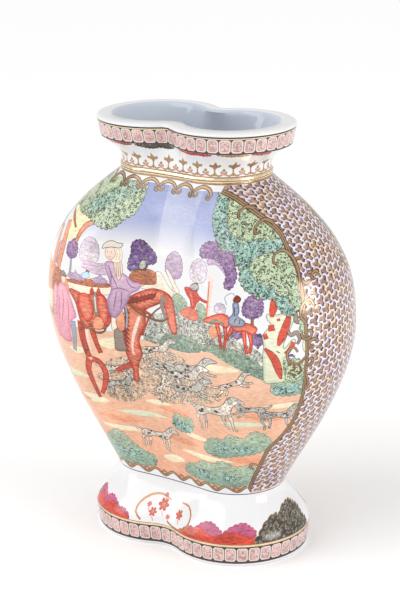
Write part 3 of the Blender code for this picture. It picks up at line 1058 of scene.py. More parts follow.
    def second_horse(self) -> None:
        """Draw the red horse beside it, head on."""
        for points, widths in ((((-46, 136), (-46.5, 125), (-44, 114)), (7.0, 4.4, 3.6)), (((-40, 133),
                (-38, 125), (-35.5, 118)), (3.4, 2.4, 2.2)), (((-44, 113), (-46, 106), (-44, 97), (-41, 88)),
                (4.0, 3.2, 2.0)), (((-42, 113.5), (-37, 112), (-34, 105), (-36, 97), (-39, 91)),
                (2.6, 3.2, 1.8))):
            self.stroke(points, widths, HORSE, HORSE_DARK, 0.45)
        self.stroke([(-44, 136), (-43.5, 126), (-42, 117)], (1.8, 1.8, 1.0), HORSE_SHEEN)
        self.model([(-56, 153.5), (-50, 153.5), (-44, 152), (-38, 154), (-33, 154), (-29, 149), (-27.5, 142),
            (-29, 136), (-34, 133), (-40, 134), (-44, 132), (-47, 135), (-49, 141), (-51, 147)], HORSE,
            HORSE_LIGHT, HORSE_DARK, 0.4, 2.4)
        for points in (((-48, 152), (-42, 153), (-38.8, 148), (-38.5, 141), (-42, 136.5), (-46, 139),
                (-49, 146)), ((-35.5, 154), (-32, 153), (-29, 147), (-29.2, 139), (-32.5, 135.5), (-35, 142),
                (-36, 148))):
            self.model(points, HORSE.toward(SCARLET, 0.5), CORAL, HORSE_DARK, 0.25, 2.0)
        self.stroke([(-37.5, 155), (-37.2, 148), (-36, 140)], (2.4, 2.2, 1.6), BOOT, SOFT_INK, 0.3)
        self.stroke([(-37.3, 152), (-36.6, 143)], (0.7, 0.5), CREAM)
        self.model([(-39, 137), (-36.5, 140.5), (-33, 139.5), (-32, 135.5), (-35, 132.5), (-38.5, 133.5)],
            CORAL, ORANGE, HORSE_DARK, 0.3, 1.0)
        for x in (-39, -34.8):
            self.fill([(x - 1.2, 153.5), (x, 157.5), (x + 1.3, 153.5)], HORSE, HORSE_DARK, 0.3)
        self.stroke([(-41, 136), (-39.5, 132), (-36, 130.6), (-32, 132), (-30.5, 136)], (0.8, 0.9, 0.8),
            BROWN_GILT, INK, 0.25)
        self.stroke([(-47, 137), (-43, 133), (-39.5, 132)], (0.6, 0.5), BROWN_GILT, SOFT_INK, 0.2)

    def near_rider(self) -> None:
        """Draw the near rider in a mauve coat and a cream hat."""
        self.fill([(-27, 142), (-24, 143), (-24.5, 134), (-27, 133)], CREAM, SOFT_INK, 0.3)
        self.fill([(-25.5, 133.5), (-21, 132.5), (-20.5, 127), (-19.5, 121.5), (-25.5, 121), (-26, 126)],
            BOOT, INK, 0.35)
        self.fill([(-24, 143), (-21, 145.5), (-19.5, 140), (-20, 134), (-23, 133.5), (-24.5, 138)], ORANGE,
            HORSE_DARK, 0.35)
        self.stroke([(-19.5, 151), (-17.8, 143), (-18.5, 135)], (1.3, 1.1), SLATE, INK, 0.25)
        self.stroke([(-28, 169), (-36, 168.4), (-42, 169.6), (-46.5, 170)], (6.5, 6.0, 3.6),
            MAUVE.toward(FAINT_PURPLE, 0.5), MAUVE_SHADE.toward(MAUVE, 0.5), 0.3)
        self.fill([(-46, 164), (-42, 166), (-41, 163), (-45, 162)], Paint((190, 222, 240)), SOFT_INK, 0.25)
        self.model([(-31, 172), (-26, 173), (-21.5, 168), (-18, 166), (-14, 163), (-9, 162), (-10.5, 158.5),
            (-15, 156), (-17, 152), (-20, 147), (-24.5, 141), (-27.5, 142), (-29.5, 150), (-27, 157),
            (-28.5, 164)], MAUVE_SHADE.toward(MAUVE, 0.5), MAUVE, MAUVE_SHADE, 0.35, 1.6)
        for points in (((-27, 157), (-22, 158.5), (-16, 157)), ((-24, 156), (-25, 150), (-26, 145)),
                ((-21, 156), (-21, 150), (-22, 146)), ((-28, 168), (-25, 162), (-23, 158)), ((-18, 164),
                (-15, 160), (-11, 159.5)), ((-29, 171), (-27, 166), (-27.5, 160))):
            self.stroke(points, (0.7, 0.9, 0.4), MAUVE_SHADE, steps=2)
        self.fill([(-25.5, 174), (-21.5, 174), (-20.5, 168), (-22.5, 163), (-24.5, 167)], FLESH, SOFT_INK,
            0.3)
        for x in (-24.4, -23.2, -22.0):
            self.stroke([(x, 173), (x + 0.3, 169), (x + 0.8, 165)], (0.4, 0.4), BOOT, steps=2)
        self.fill([(-28.5, 181.5), (-23, 182), (-20.8, 178), (-21.5, 174), (-25, 173), (-28, 175)], CREAM,
            SOFT_INK, 0.2)
        self.lay(ellipse(-28.2, 178.2, 3.3, 3.9, 8, 14), SOFT_INK)
        self.lay(ellipse(-28.2, 178.2, 3.0, 3.6, 8, 14), FLESH)
        for x in (-24.8, -23.0):
            self.stroke([(x, 180.5), (x + 0.9, 177.5), (x + 0.2, 174.5)], (0.4, 0.5),
                STRAW.toward(BOOT, 0.4), steps=2)
        for x in (-29.8, -27.5):
            self.dot(x, 178.6, 0.32, SOFT_INK, 6)
        self.stroke([(-29.3, 176.1), (-28.4, 175.8), (-27.6, 176.1)], (0.3, 0.4, 0.3), CORAL, steps=2)
        self.fill([(-33.2, 180.4), (-32, 183), (-28, 184.8), (-24, 183.8), (-20.8, 183.6), (-22.8, 181.4),
            (-27, 181.6), (-31, 181)], PANE_WHITE.toward(PALE_GREEN, 0.3), INK, 0.35)

    def walker(self) -> None:
        """Draw the figure on foot in a pink coat at the left."""
        self.stroke([(-54, 135), (-53.5, 126), (-55, 116)], (4.0, 3.0, 2.4), SLATE, SOFT_INK, 0.35)
        self.model([(-74, 150), (-70, 154), (-67, 148), (-66, 134), (-68, 122), (-73, 124), (-76, 136)],
            CORAL.toward(PINK_COAT, 0.3), PINK_COAT, ROSE, 0.4, 1.6)
        self.model([(-68, 152), (-61, 156), (-56, 150), (-52.5, 143), (-51, 138), (-55, 135), (-57, 128),
            (-56.5, 122), (-62, 120.5), (-68, 122.5), (-70.5, 131), (-69.5, 142)],
            ROSE.toward(PINK_COAT, 0.6), PINK_COAT, ROSE, 0.4, 2.0)
        for points in (((-62, 152), (-62, 142), (-64, 132)), ((-58, 148), (-57, 140), (-58, 132)),
                ((-66, 148), (-67, 136), (-67, 126))):
            self.stroke(points, (0.6, 1.0, 0.5), ROSE)
        self.lay(ellipse(-61.5, 158.4, 2.5, 2.9, 0, 12), SOFT_INK)
        self.lay(ellipse(-61.5, 158.4, 2.2, 2.6, 0, 12), FLESH)
        self.fill([(-65, 160.5), (-62, 163), (-58.5, 160.5), (-61.5, 160)], BOOT, INK, 0.3)

    def right_tree(self) -> None:
        """Draw the tall tree on the right, down to its forked trunk."""
        self.cloud([(88, 131), (92, 133), (97, 131.5), (98.5, 126), (97, 121), (91, 119.5), (87.5, 124)],
            LEAF, INK, 1.0, 2.6, 0.35)
        for points in (((90, 130), (93, 130.5), (93.5, 127), (91, 126.5)), ((96, 130), (97.5, 126),
                (95.5, 123.5)), ((89.5, 125), (92.5, 124), (93, 121.5))):
            self.stroke(points, (0.9, 1.0, 0.7), BROWN_GILT, INK, 0.25, 2)
        self.model([(78.5, 159), (79, 156), (81, 153.5), (78.5, 150), (76.6, 147), (77.3, 142), (76.8, 137),
            (76.6, 128), (76.4, 120), (81, 119.6), (87.5, 120.5), (87.3, 128), (88, 134), (91, 137),
            (94.5, 142.5), (93, 144.5), (88.5, 139.5), (88, 143), (91, 150), (93.5, 157), (90, 160),
            (84, 158.5)], PALE_GREEN.toward(GREEN, 0.5), CREAM.toward(PALE_GREEN, 0.6), SOFT_INK, 0.35, 1.6)
        for points, widths in ((((81.2, 168.5), (81.6, 163), (81, 157.5)), (1.6, 3.6, 3.8, 1.4)),
                (((90.8, 159.5), (88.7, 151), (85, 141.5)), (0.9, 3.6, 4.2, 4.4, 1.0)), (((77.7, 140.2),
                (82.3, 135), (84.4, 129), (85.6, 121.5)), (0.8, 3.6, 4.2, 3.6, 0.8)), (((80.9, 153.4),
                (81.4, 149.8)), (2.4, 3.2)), (((77.6, 148.6), (78.6, 145.4)), (1.4, 2.2)), (((84.6, 156.6),
                (84.9, 155.2)), (1.3, 1.1)), (((88.6, 137), (91.2, 139), (93.6, 143)), (0.9, 1.9, 2.4))):
            self.stroke(points, widths, RUST.toward(SCARLET, 0.6), HORSE_DARK, 0.3)
            self.stroke([(x - 0.35, z) for x, z in points], tuple(0.55 * width for width in widths), SCARLET)
        for points in (((90.2, 149.5), (92, 147), (95.2, 148.2), (97, 144.5), (95.5, 141.5)), ((90.5, 159.8),
                (94, 158.2), (94.5, 154.5), (98, 153))):
            self.stroke(points, (0.9, 2.0, 1.8, 0.9), BOOT, INK, 0.35)
        self.stroke([(84, 138.4), (86, 137.4)], (0.8, 0.6), SOFT_INK)
        self.fill([(99.5, 137.5), (98.8, 142), (101, 144.5), (104, 143), (104.5, 138), (102, 135.5)],
            PALE_GREEN, SOFT_INK, 0.3)
        self.stroke([(90, 135), (92, 135.6), (94.4, 134.6)], (0.8, 1.9, 0.8), DEEP_PURPLE)
        self.leafage([(98, 146), (97.5, 152), (97, 158), (99, 163), (104, 162), (105.5, 154), (104.5, 146),
            (101, 144.5)])
        self.leafage([(36, 219), (37.5, 211), (38, 205), (41, 200), (45, 194), (50, 191), (56, 191),
            (57, 186), (61, 182), (62, 177), (66, 172), (71, 170), (74, 167.5), (80, 168.5), (84, 164),
            (88, 159.5), (93, 159), (99, 166), (97, 174), (93, 183), (86, 191), (79, 199), (70, 205),
            (58, 211), (46, 217)], (((37, 216), (36.8, 208), (40, 200.5), (44.5, 194.5), (51, 190.8),
            (56, 192), (57, 195.5), (51, 197.5), (46.5, 202), (43.5, 207), (41.5, 213)), ((57, 193),
            (56.8, 187), (61.5, 182), (65, 183), (66, 187.5), (72, 190.5), (80, 190), (84, 192), (80, 195.5),
            (72, 195), (64, 196)), ((61.6, 181), (62.2, 176.5), (66, 172), (71, 170), (76, 167.6),
            (82, 168.5), (80, 172.5), (73, 174.5), (68, 178), (65, 182)), ((82, 168), (85, 162), (89, 158.6),
            (93.5, 159), (91, 163.5), (88, 167.5))))

    def left_tree(self) -> None:
        """Draw the tree on the left, leaning in from the edge."""
        self.fill([(-66, 200), (-54, 203), (-44, 197), (-48, 190), (-54, 184), (-60, 180), (-66, 186)],
            Paint((240, 236, 190), (250, 228, 190), streak=0.5))
        for points, widths in ((((-41, 193.5), (-47, 191), (-51, 186), (-53, 181)), (1.6, 2.8, 1.8)),
                (((-67, 190), (-65.5, 182), (-66, 174), (-68, 164)), (4.5, 5.0, 4.0)), (((-76, 186),
                (-74, 172), (-76, 160)), (4.0, 5.0, 4.0))):
            self.stroke(points, widths, ORANGE, HORSE_DARK, 0.4)
        self.stroke([(-70, 196), (-62, 192), (-56, 188)], (1.4, 2.0, 1.0), RUST, SOFT_INK, 0.3)
        self.leafage([(-92, 176), (-92, 190), (-80, 202), (-66, 212), (-52, 218.5), (-30, 219), (-15, 219),
            (-13, 213), (-14, 207), (-17, 201), (-22, 198), (-27, 193.5), (-33, 191.5), (-40, 193),
            (-47, 196), (-56, 197), (-66, 199), (-74, 196), (-80, 186), (-85, 177)], (((-50, 197.5),
            (-42, 199), (-33, 203), (-24, 208), (-16, 213.5), (-15, 218), (-22, 217.5), (-31, 212.5),
            (-40, 208), (-50, 204)),))
        self.lay(curve([(-90, 186), (-78, 200), (-64, 211), (-50, 217.5), (-28, 218), (-36, 212),
            (-46, 207.5), (-58, 204), (-70, 201.5), (-82, 190)], steps=2),
            replace(LEAF, curl=0.25, streak=0.5))

    def frame(self) -> None:
        """Cover the ends with the diaper and lay the gilt scrolls along the picture's edge."""
        form = self.canvas.form
        for edge, hand in ((self.RIGHT_EDGE, 1), (self.LEFT_EDGE, -1)):
            line = curve(edge, closed=False, steps=2)
            heights = np.linspace(line[-1, 1], line[0, 1], 40)
            far = np.stack([hand * (form.girth(heights) / 4 + 0.3), heights], 1)
            corner = np.array([(line[0, 0], form.neck_z - 0.7), (far[-1, 0] * 0.985, form.neck_z - 0.7)])
            self.lay(np.vstack([corner[:1], line, far, corner[1:]]), SIDE_GROUND)
            self.lay(ribbon(line, (2.3, 2.3), smooth=False), INK)
            self.lay(ribbon(line, (1.5, 1.5), smooth=False), OCHRE)
            self.lay(ribbon(line, (0.3, 0.3), smooth=False), INK)
            for points in (((95, 170), (94, 178), (89, 186), (82, 190.5), (77.5, 189), (77.5, 185.5),
                    (80, 184.5)), ((72, 203), (66, 205), (62, 202), (63.5, 199), (66, 200)), ((58, 210),
                    (53, 211), (50, 208.5), (51.5, 206)), ((101, 152), (97, 157), (98, 163), (102, 165),
                    (105, 161), (103.5, 157.5)), ((101, 134), (96, 130), (91, 132), (90, 137), (93.5, 140),
                    (96, 137)), ((97, 111), (101, 117), (100, 123)), ((62, 61), (58, 63), (56, 60.5),
                    (58, 58.5))):
                self.stroke([(hand * x, z) for x, z in points], (1.0, 1.1, 0.6), OCHRE, INK, 0.38, 3)
            for x, z, size, turn in ((100, 177, 4.2, 200), (104, 176, 3.0, 20), (102, 147, 4.4, 170),
                    (105, 140, 3.6, 30), (103, 131, 3.2, 200)):
                self.scroll(hand * x, z, size, turn if hand > 0 else 180 - turn, hand)
        self.arches()

    def scroll(self, x: float, z: float, size: float, turn: float, hand: int) -> None:
        """Lay one gilt C-scroll, curling in to its end.

        Args:
            x: its middle across.
            z: height of its middle.
            size: its radius.
            turn: where it starts, in degrees.
            hand: 1 or -1, the way that it curls.
        """
        angles = np.radians(turn) + hand * np.linspace(0, 5.2, 8)
        radii = size * np.linspace(1.0, 0.2, 8)
        line = np.stack([x + radii * np.cos(angles), z + radii * np.sin(angles)], 1).tolist()
        self.stroke(line, (0.8, 1.2, 0.9), OCHRE, INK, 0.42, 2)

    def arches(self) -> None:
        """Lay the row of small gilt scrolls over the picture and the wavy line under it."""
        form = self.canvas.form
        self.lay([(-50, 217.6), (36, 217.6), (36, form.neck_z - 0.5), (-50, form.neck_z - 0.5)], WHITE)
        for x in range(-52, 30, 12):
            self.stroke([(x - 1, 215.6), (x + 0.6, 217.8), (x + 4.4, 219.4), (x + 8.6, 218.6), (x + 11, 216),
                (x + 10.4, 214), (x + 8.8, 214.6), (x + 9.2, 216)], (0.8, 1.2, 1.1, 0.5), OCHRE, INK, 0.45,
                2)
            self.stroke([(x - 1.4, 215.8), (x + 1, 214.4), (x + 2.6, 215.4), (x + 2, 216.8)], (0.9, 0.6),
                OCHRE, INK, 0.35, 2)
        low = [(-51, 40), (51, 40)]
        wave = [(x, 43.2 + 1.7 * math.cos((x + 50) / 12.5 * 2 * math.pi))
            for x in np.arange(-51, 51.1, 1.25)]
        self.lay(low + wave[::-1], WHITE)
        self.lay(ribbon(wave, (1.9, 1.9), smooth=False), INK)
        self.lay(ribbon(wave, (1.2, 1.2), smooth=False), OCHRE)
        for x in np.arange(-50 + 6.25, 50, 12.5):
            self.stroke([(x - 2.2, 42.6), (x, 44.6), (x + 2.2, 42.6)], (0.7, 1.0, 0.7), OCHRE, INK, 0.25, 2)

    def paint(self) -> None:
        """Paint the whole side, from the far distance to the frame."""
        self.sky()
        self.distance()
        self.banks()
        self.ground()
        self.pack()
        self.far_riders()
        if self.NEAR_FIGURES:
            self.walker()
            self.second_horse()
            self.lead_horse()
            self.near_rider()
        self.left_tree()
        self.right_tree()
        self.frame()


class BackPicture(Picture):
    """The plainer far side: the same country with hounds and two small riders."""

    NEAR_FIGURES = False


@dataclass
class Bands:
    """The ruled bands right round: rim and foot cells, spearheads, ring and fine lines."""

    canvas: Canvas
    cell_pitch: float = 7.0
    spear_pitch: float = 10.5

    def brush(self, share: float) -> Painter:
        """Return a brush whose middle line is a share of the way round."""
        return Painter(self.canvas, share)

    def cells(self, low: float, high: float) -> None:
        """Lay a band of small panes between two heights.

        Args:
            low: foot of the band.
            high: top of the band.
        """
        count = round(float(self.canvas.form.girth(np.array([(low + high) / 2]))[0]) / self.cell_pitch)
        count += count % 2
        self.canvas.lay_round(low, high, CELL_BROWN)
        rise = high - low
        for step in range(count):
            brush = self.brush((step + 0.5) / count)
            for inset, paint in ((0.0, PANE_WHITE), (0.75, CELL_RED), (0.92, CELL_PINK)):
                wide, tall, corner = 3.2 - inset, rise / 2 - 0.25 - inset, 1.1 - 0.4 * inset
                middle = (low + high) / 2
                brush.lay([(-wide, middle - tall + corner), (-wide + corner, middle - tall),
                    (wide - corner, middle - tall), (wide, middle - tall + corner),
                    (wide, middle + tall - corner), (wide - corner, middle + tall),
                    (-wide + corner, middle + tall), (-wide, middle + tall - corner)], paint)
            for up in (-0.25, 0.25):
                brush.dot(0.0, (low + high) / 2 + up * rise * 0.7, 0.42, CELL_RED, 5)

    def spears(self) -> None:
        """Lay the gilt spearheads on the neck, joined by swags."""
        form = self.canvas.form
        half = self.spear_pitch / 2
        foot = (0, form.ring_z)
        count = round(float(form.girth(np.array([form.flare_z]))[0]) / self.spear_pitch / 4) * 4
        left = [(0, 9.8), (-1.1, 7.4), (-3.0, 7.8), (-3.2, 6.3), (-1.3, 5.7), (0, 4.2)]
        head = np.array(left + [(-x, z) for x, z in left[-2:0:-1]]) + foot
        stem = np.array([(0, 0.8), (0, 6)]) + foot
        swag = np.array([(0, 2.4), (1.8, 1.0), (half * 0.75, 1.6), (half, 3.0)])
        jewel = np.array([(-1.6, 1.9), (0, 1.2), (1.6, 1.9), (0, 2.4)]) + foot
        for step in range(count):
            brush = self.brush(Side.FRONT.value + step / count)
            brush.stroke(stem, (1.0, 0.8), SPEAR_GILT, steps=2)
            brush.fill(head, SPEAR_GILT, steps=2)
            for hand in (-1, 1):
                brush.stroke(swag * (hand, 1) + foot, (1.0, 0.9, 0.7), SPEAR_GILT, steps=2)
            between = self.brush(Side.FRONT.value + (step + 0.5) / count)
            for x, z, radius in ((0, 4.2, 0.95), (-1.3, 3.0, 0.7), (1.3, 3.0, 0.7)):
                between.dot(x, form.ring_z + z, radius, SPEAR_GILT)
            between.fill(jewel, Paint((226, 150, 150)), steps=2)

    def under_rim(self) -> None:
        """Lay the crimson and olive sprays under the rim."""
        form = self.canvas.form
        top = form.rim_z
        for side in Side:
            brush = Painter(self.canvas, side.value)
            for low, high, drop, paint in ((-66, -48, 1.6, OLIVE), (-45, -22, 1.9, CRIMSON),
                    (-19, 5, 2.6, OLIVE), (13, 35, 2.0, CRIMSON), (39, 56, 1.7, SPEAR_GILT),
                    (58, 70, 2.0, CRIMSON)):
                edge = [(low, top - 0.4), (mix(low, high, 0.2), top - drop * 0.8), (mix(low, high, 0.4),
                    top - drop), (mix(low, high, 0.6), top - drop * 0.75), (mix(low, high, 0.8),
                    top - drop * 0.9), (high, top - 0.4)]
                brush.cloud(edge, paint, None, 0.4, 2.2)

    def rings(self) -> None:
        """Lay the ring, the fine lines and the two bands of cells."""
        form = self.canvas.form
        lay_round = self.canvas.lay_round
        lay_round(form.neck_z - 0.65, form.neck_z - 0.05, LINE_GILT)
        lay_round(form.neck_z - 0.05, form.ring_z, GOLD)
        lay_round(form.neck_z + 1.3, form.neck_z + 1.85, RING_LINE)
        lay_round(form.ring_z, form.ring_z + 0.45, LINE_GILT)
        lay_round(form.stem_z + 0.3, form.stem_z + 0.9, BLUE_LINE)
        self.under_rim()
        lay_round(form.rim_z - 0.1, form.rim_z + 0.6, CELL_BROWN)
        self.cells(form.rim_z + 0.6, form.rim_z + 8.6)
        lay_round(form.rim_z + 8.6, form.rim_z + 9.1, GOLD)
        lay_round(form.rim_z + 9.1, form.rim_z + 10.0, INK)
        self.spears()
        lay_round(form.band_z - 0.6, form.band_z + 0.6, CELL_BROWN)
        self.cells(form.band_z + 0.6, form.foot_z - 1.2)
        lay_round(form.foot_z - 1.2, form.foot_z - 0.6, CELL_BROWN)
        lay_round(form.foot_z - 0.6, form.foot_z + 0.5, GOLD)
        lay_round(form.foot_z + 0.5, form.foot_z + 0.9, LINE_GILT)


@dataclass
class FootSprays:
    """The leaves, the small cartouche and the dark lace on the bell of the foot."""

    canvas: Canvas

    def paint(self, side: Side) -> None:
        """Paint one side of the foot.

        Args:
            side: the side.
        """
        brush = Painter(self.canvas, side.value)
        for low, high, leaves in ((-60, -25, ((-53, 20.5, 8, 5), (-40, 19.5, 8, 4.5), (-29, 17, 5, 3))), (15,
                68, ((33, 20, 9, 5), (52, 20, 10, 5.5), (22, 17, 7, 3.5)))):
            for x, z, wide, high_z in leaves:
                brush.cloud([(x - wide, z - 3), (x - wide * 0.7, z + high_z * 0.4),
                    (x - 1, z + high_z * 0.85), (x + wide * 0.4, z + high_z * 0.6), (x + wide, z - 1),
                    (x, z - high_z)], MAGENTA, CRIMSON, 0.6, 2.8, 0.3)
                for lean in (-0.5, 0.0, 0.5):
                    brush.stroke([(x, z - high_z * 0.6), (x + lean * wide, z + high_z * 0.3)], (0.9, 0.3),
                        CRIMSON, steps=2)
            span = high - low
            brush.cloud([(low, 14.4), (low + span * 0.1, 18.5), (low + span * 0.25, 20.5),
                (low + span * 0.4, 17.5), (low + span * 0.6, 20), (low + span * 0.8, 18), (high, 14.4)],
                SCARLET, CRIMSON, 0.7, 3.0, 0.3)
        for points in (((0, 28), (-7, 30), (-14, 28.6), (-19, 24.5), (-20, 19.5), (-16, 15.6)), ((8, 28.4),
                (14, 28), (18.5, 24.5), (18.5, 19), (14, 15.6), (6, 15), (1, 17))):
            brush.stroke(points, (0.5, 1.1, 0.8), SPEAR_GILT, CORAL, 0.15, 2)
        for x, z, size in ((-9.5, 20.5, 2.6), (-4, 25, 3.6), (9, 22.5, 2.8), (1, 19.5, 1.6), (-13, 24, 1.5),
                (-4, 30, 1.4)):
            for angle in np.radians(range(0, 360, 60)):
                brush.lay(ellipse(x + size * 0.6 * math.cos(angle), z + size * 0.6 * math.sin(angle),
                    size * 0.42, size * 0.3, math.degrees(angle), 8), IRON_RED)
            brush.dot(x, z, size * 0.25, OCHRE)
            brush.stroke([(x, z - size), (x + 1.2, z - size - 2.2)], (0.5, 0.3), IRON_RED, steps=2)
        lace = [(66, 14.6), (64.5, 19), (66, 24), (70, 26.5), (74, 25.4), (76, 28.6), (82, 29.6), (88, 27.5),
            (95, 24.4), (99, 20.5), (104, 15)]
        outline = brush.cloud(lace, OLIVE, SPEAR_GILT, 1.0, 3.4, 0.5)
        brush.curls(outline, 2.3, 0.85, 0.42, Paint((176, 162, 140)), 71)


def paint_vase(canvas: Canvas) -> None:
    """Lay the whole painting on the canvas, from the ground colours up."""
    Picture(canvas, Side.FRONT.value).paint()
    BackPicture(canvas, Side.BACK.value, True).paint()
    sprays = FootSprays(canvas)
    for side in Side:
        sprays.paint(side)
    Bands(canvas).rings()


class Wires:
    """A hand for adding and joining shader nodes in one tree."""

    def __init__(self, tree: Tree) -> None:
        """Start on the emptied tree of a material or of a node group."""
        self.tree = tree
        tree.nodes.clear()

    def add(self, kind: str, inputs: dict = None, **settings: object) -> Node:
        """Add a node.

        Args:
            kind: the node's type, without its ShaderNode prefix.
            inputs: values or output sockets, by the name or number of the input.
            settings: the node's own settings.

        Returns:
            The node.
        """
        node = self.tree.nodes.new(kind if kind.startswith("Node") else "ShaderNode" + kind)
        for name, value in settings.items():
            setattr(node, name, value)
        self.fill(node, inputs or {})
        return node

    def fill(self, node: Node, inputs: dict) -> None:
        """Set a node's inputs to values or join them to output sockets.

        Args:
            node: the node.
            inputs: values or sockets, by the name or number of the input.
        """
        for key, value in inputs.items():
            if isinstance(value, Socket):
                self.tree.links.new(value, node.inputs[key])
            else:
                node.inputs[key].default_value = value

    def sums(self, operation: str, *values: Input, clamp: bool = False) -> Socket:
        """Return the result of one sum on numbers."""
        node = self.add("Math", dict(enumerate(values)), operation=operation, use_clamp=clamp)
        return node.outputs[0]

    def vector(self, operation: str, *values: Input) -> Socket:
        """Return the result of one sum on vectors."""
        node = self.add("VectorMath", dict(enumerate(values)), operation=operation)
        return node.outputs["Value" if operation == "LENGTH" else "Vector"]

    def scaled(self, value: Input, share: Input) -> Socket:
        """Return a vector or a colour times a number."""
        return self.add("VectorMath", {0: value, "Scale": share}, operation="SCALE").outputs["Vector"]

    def hypotenuse(self, x: Socket, y: Socket) -> Socket:
        """Return the length of a line with two given sides."""
        return self.sums("POWER", self.sums("MULTIPLY_ADD", x, x, self.sums("MULTIPLY", y, y)), 0.5)

    def held(self, value: Socket, most: float) -> Socket:
        """Return a number held between 0 and a limit."""
        return self.sums("MINIMUM", self.sums("MAXIMUM", value, 0.0), most)

    def below(self, value: Socket, limit: float, soft: float) -> Socket:
        """Return a mask that is 1 below a limit and fades to 0 over a soft step."""
        ramp = self.add("MapRange", {"Value": value, "From Min": limit - soft, "From Max": limit + soft,
            "To Min": 1.0, "To Max": 0.0}, interpolation_type="SMOOTHSTEP")
        return ramp.outputs["Result"]

    def blend(self, share: Input, first: Input, second: Input, kind: str = "MIX") -> Socket:
        """Return two colours mixed by a share."""
        node = self.add("Mix", {0: share, 6: first, 7: second}, data_type="RGBA", blend_type=kind)
        return node.outputs[2]

    def noise(self, place: Socket, scale: float, detail: float = 2.0, output: str = "Fac",
              bent: float = 0.0) -> Socket:
        """Return an even noise of a given fineness, as a number or as a colour."""
        return self.add("TexNoise", {"Vector": place, "Scale": scale, "Detail": detail,
            "Distortion": bent}).outputs[output]

    def cells(self, place: Socket, scale: float) -> Socket:
        """Return the distance from scattered points."""
        return self.add("TexVoronoi", {"Vector": place, "Scale": scale}).outputs["Distance"]

    @classmethod
    def group(cls, name: str, inputs: dict, outputs: dict) -> tuple:
        """Start a node group.

        Args:
            name: the group's name.
            inputs: types of its inputs, by name.
            outputs: types of its outputs, by name.

        Returns:
            The group's tree, its wires, and its input and output nodes.
        """
        tree = bpy.data.node_groups.new(name, "ShaderNodeTree")
        for side, sockets in (("INPUT", inputs), ("OUTPUT", outputs)):
            for socket, kind in sockets.items():
                tree.interface.new_socket(socket, in_out=side, socket_type="NodeSocket" + kind)
        wires = cls(tree)
        return tree, wires, wires.add("NodeGroupInput"), wires.add("NodeGroupOutput")


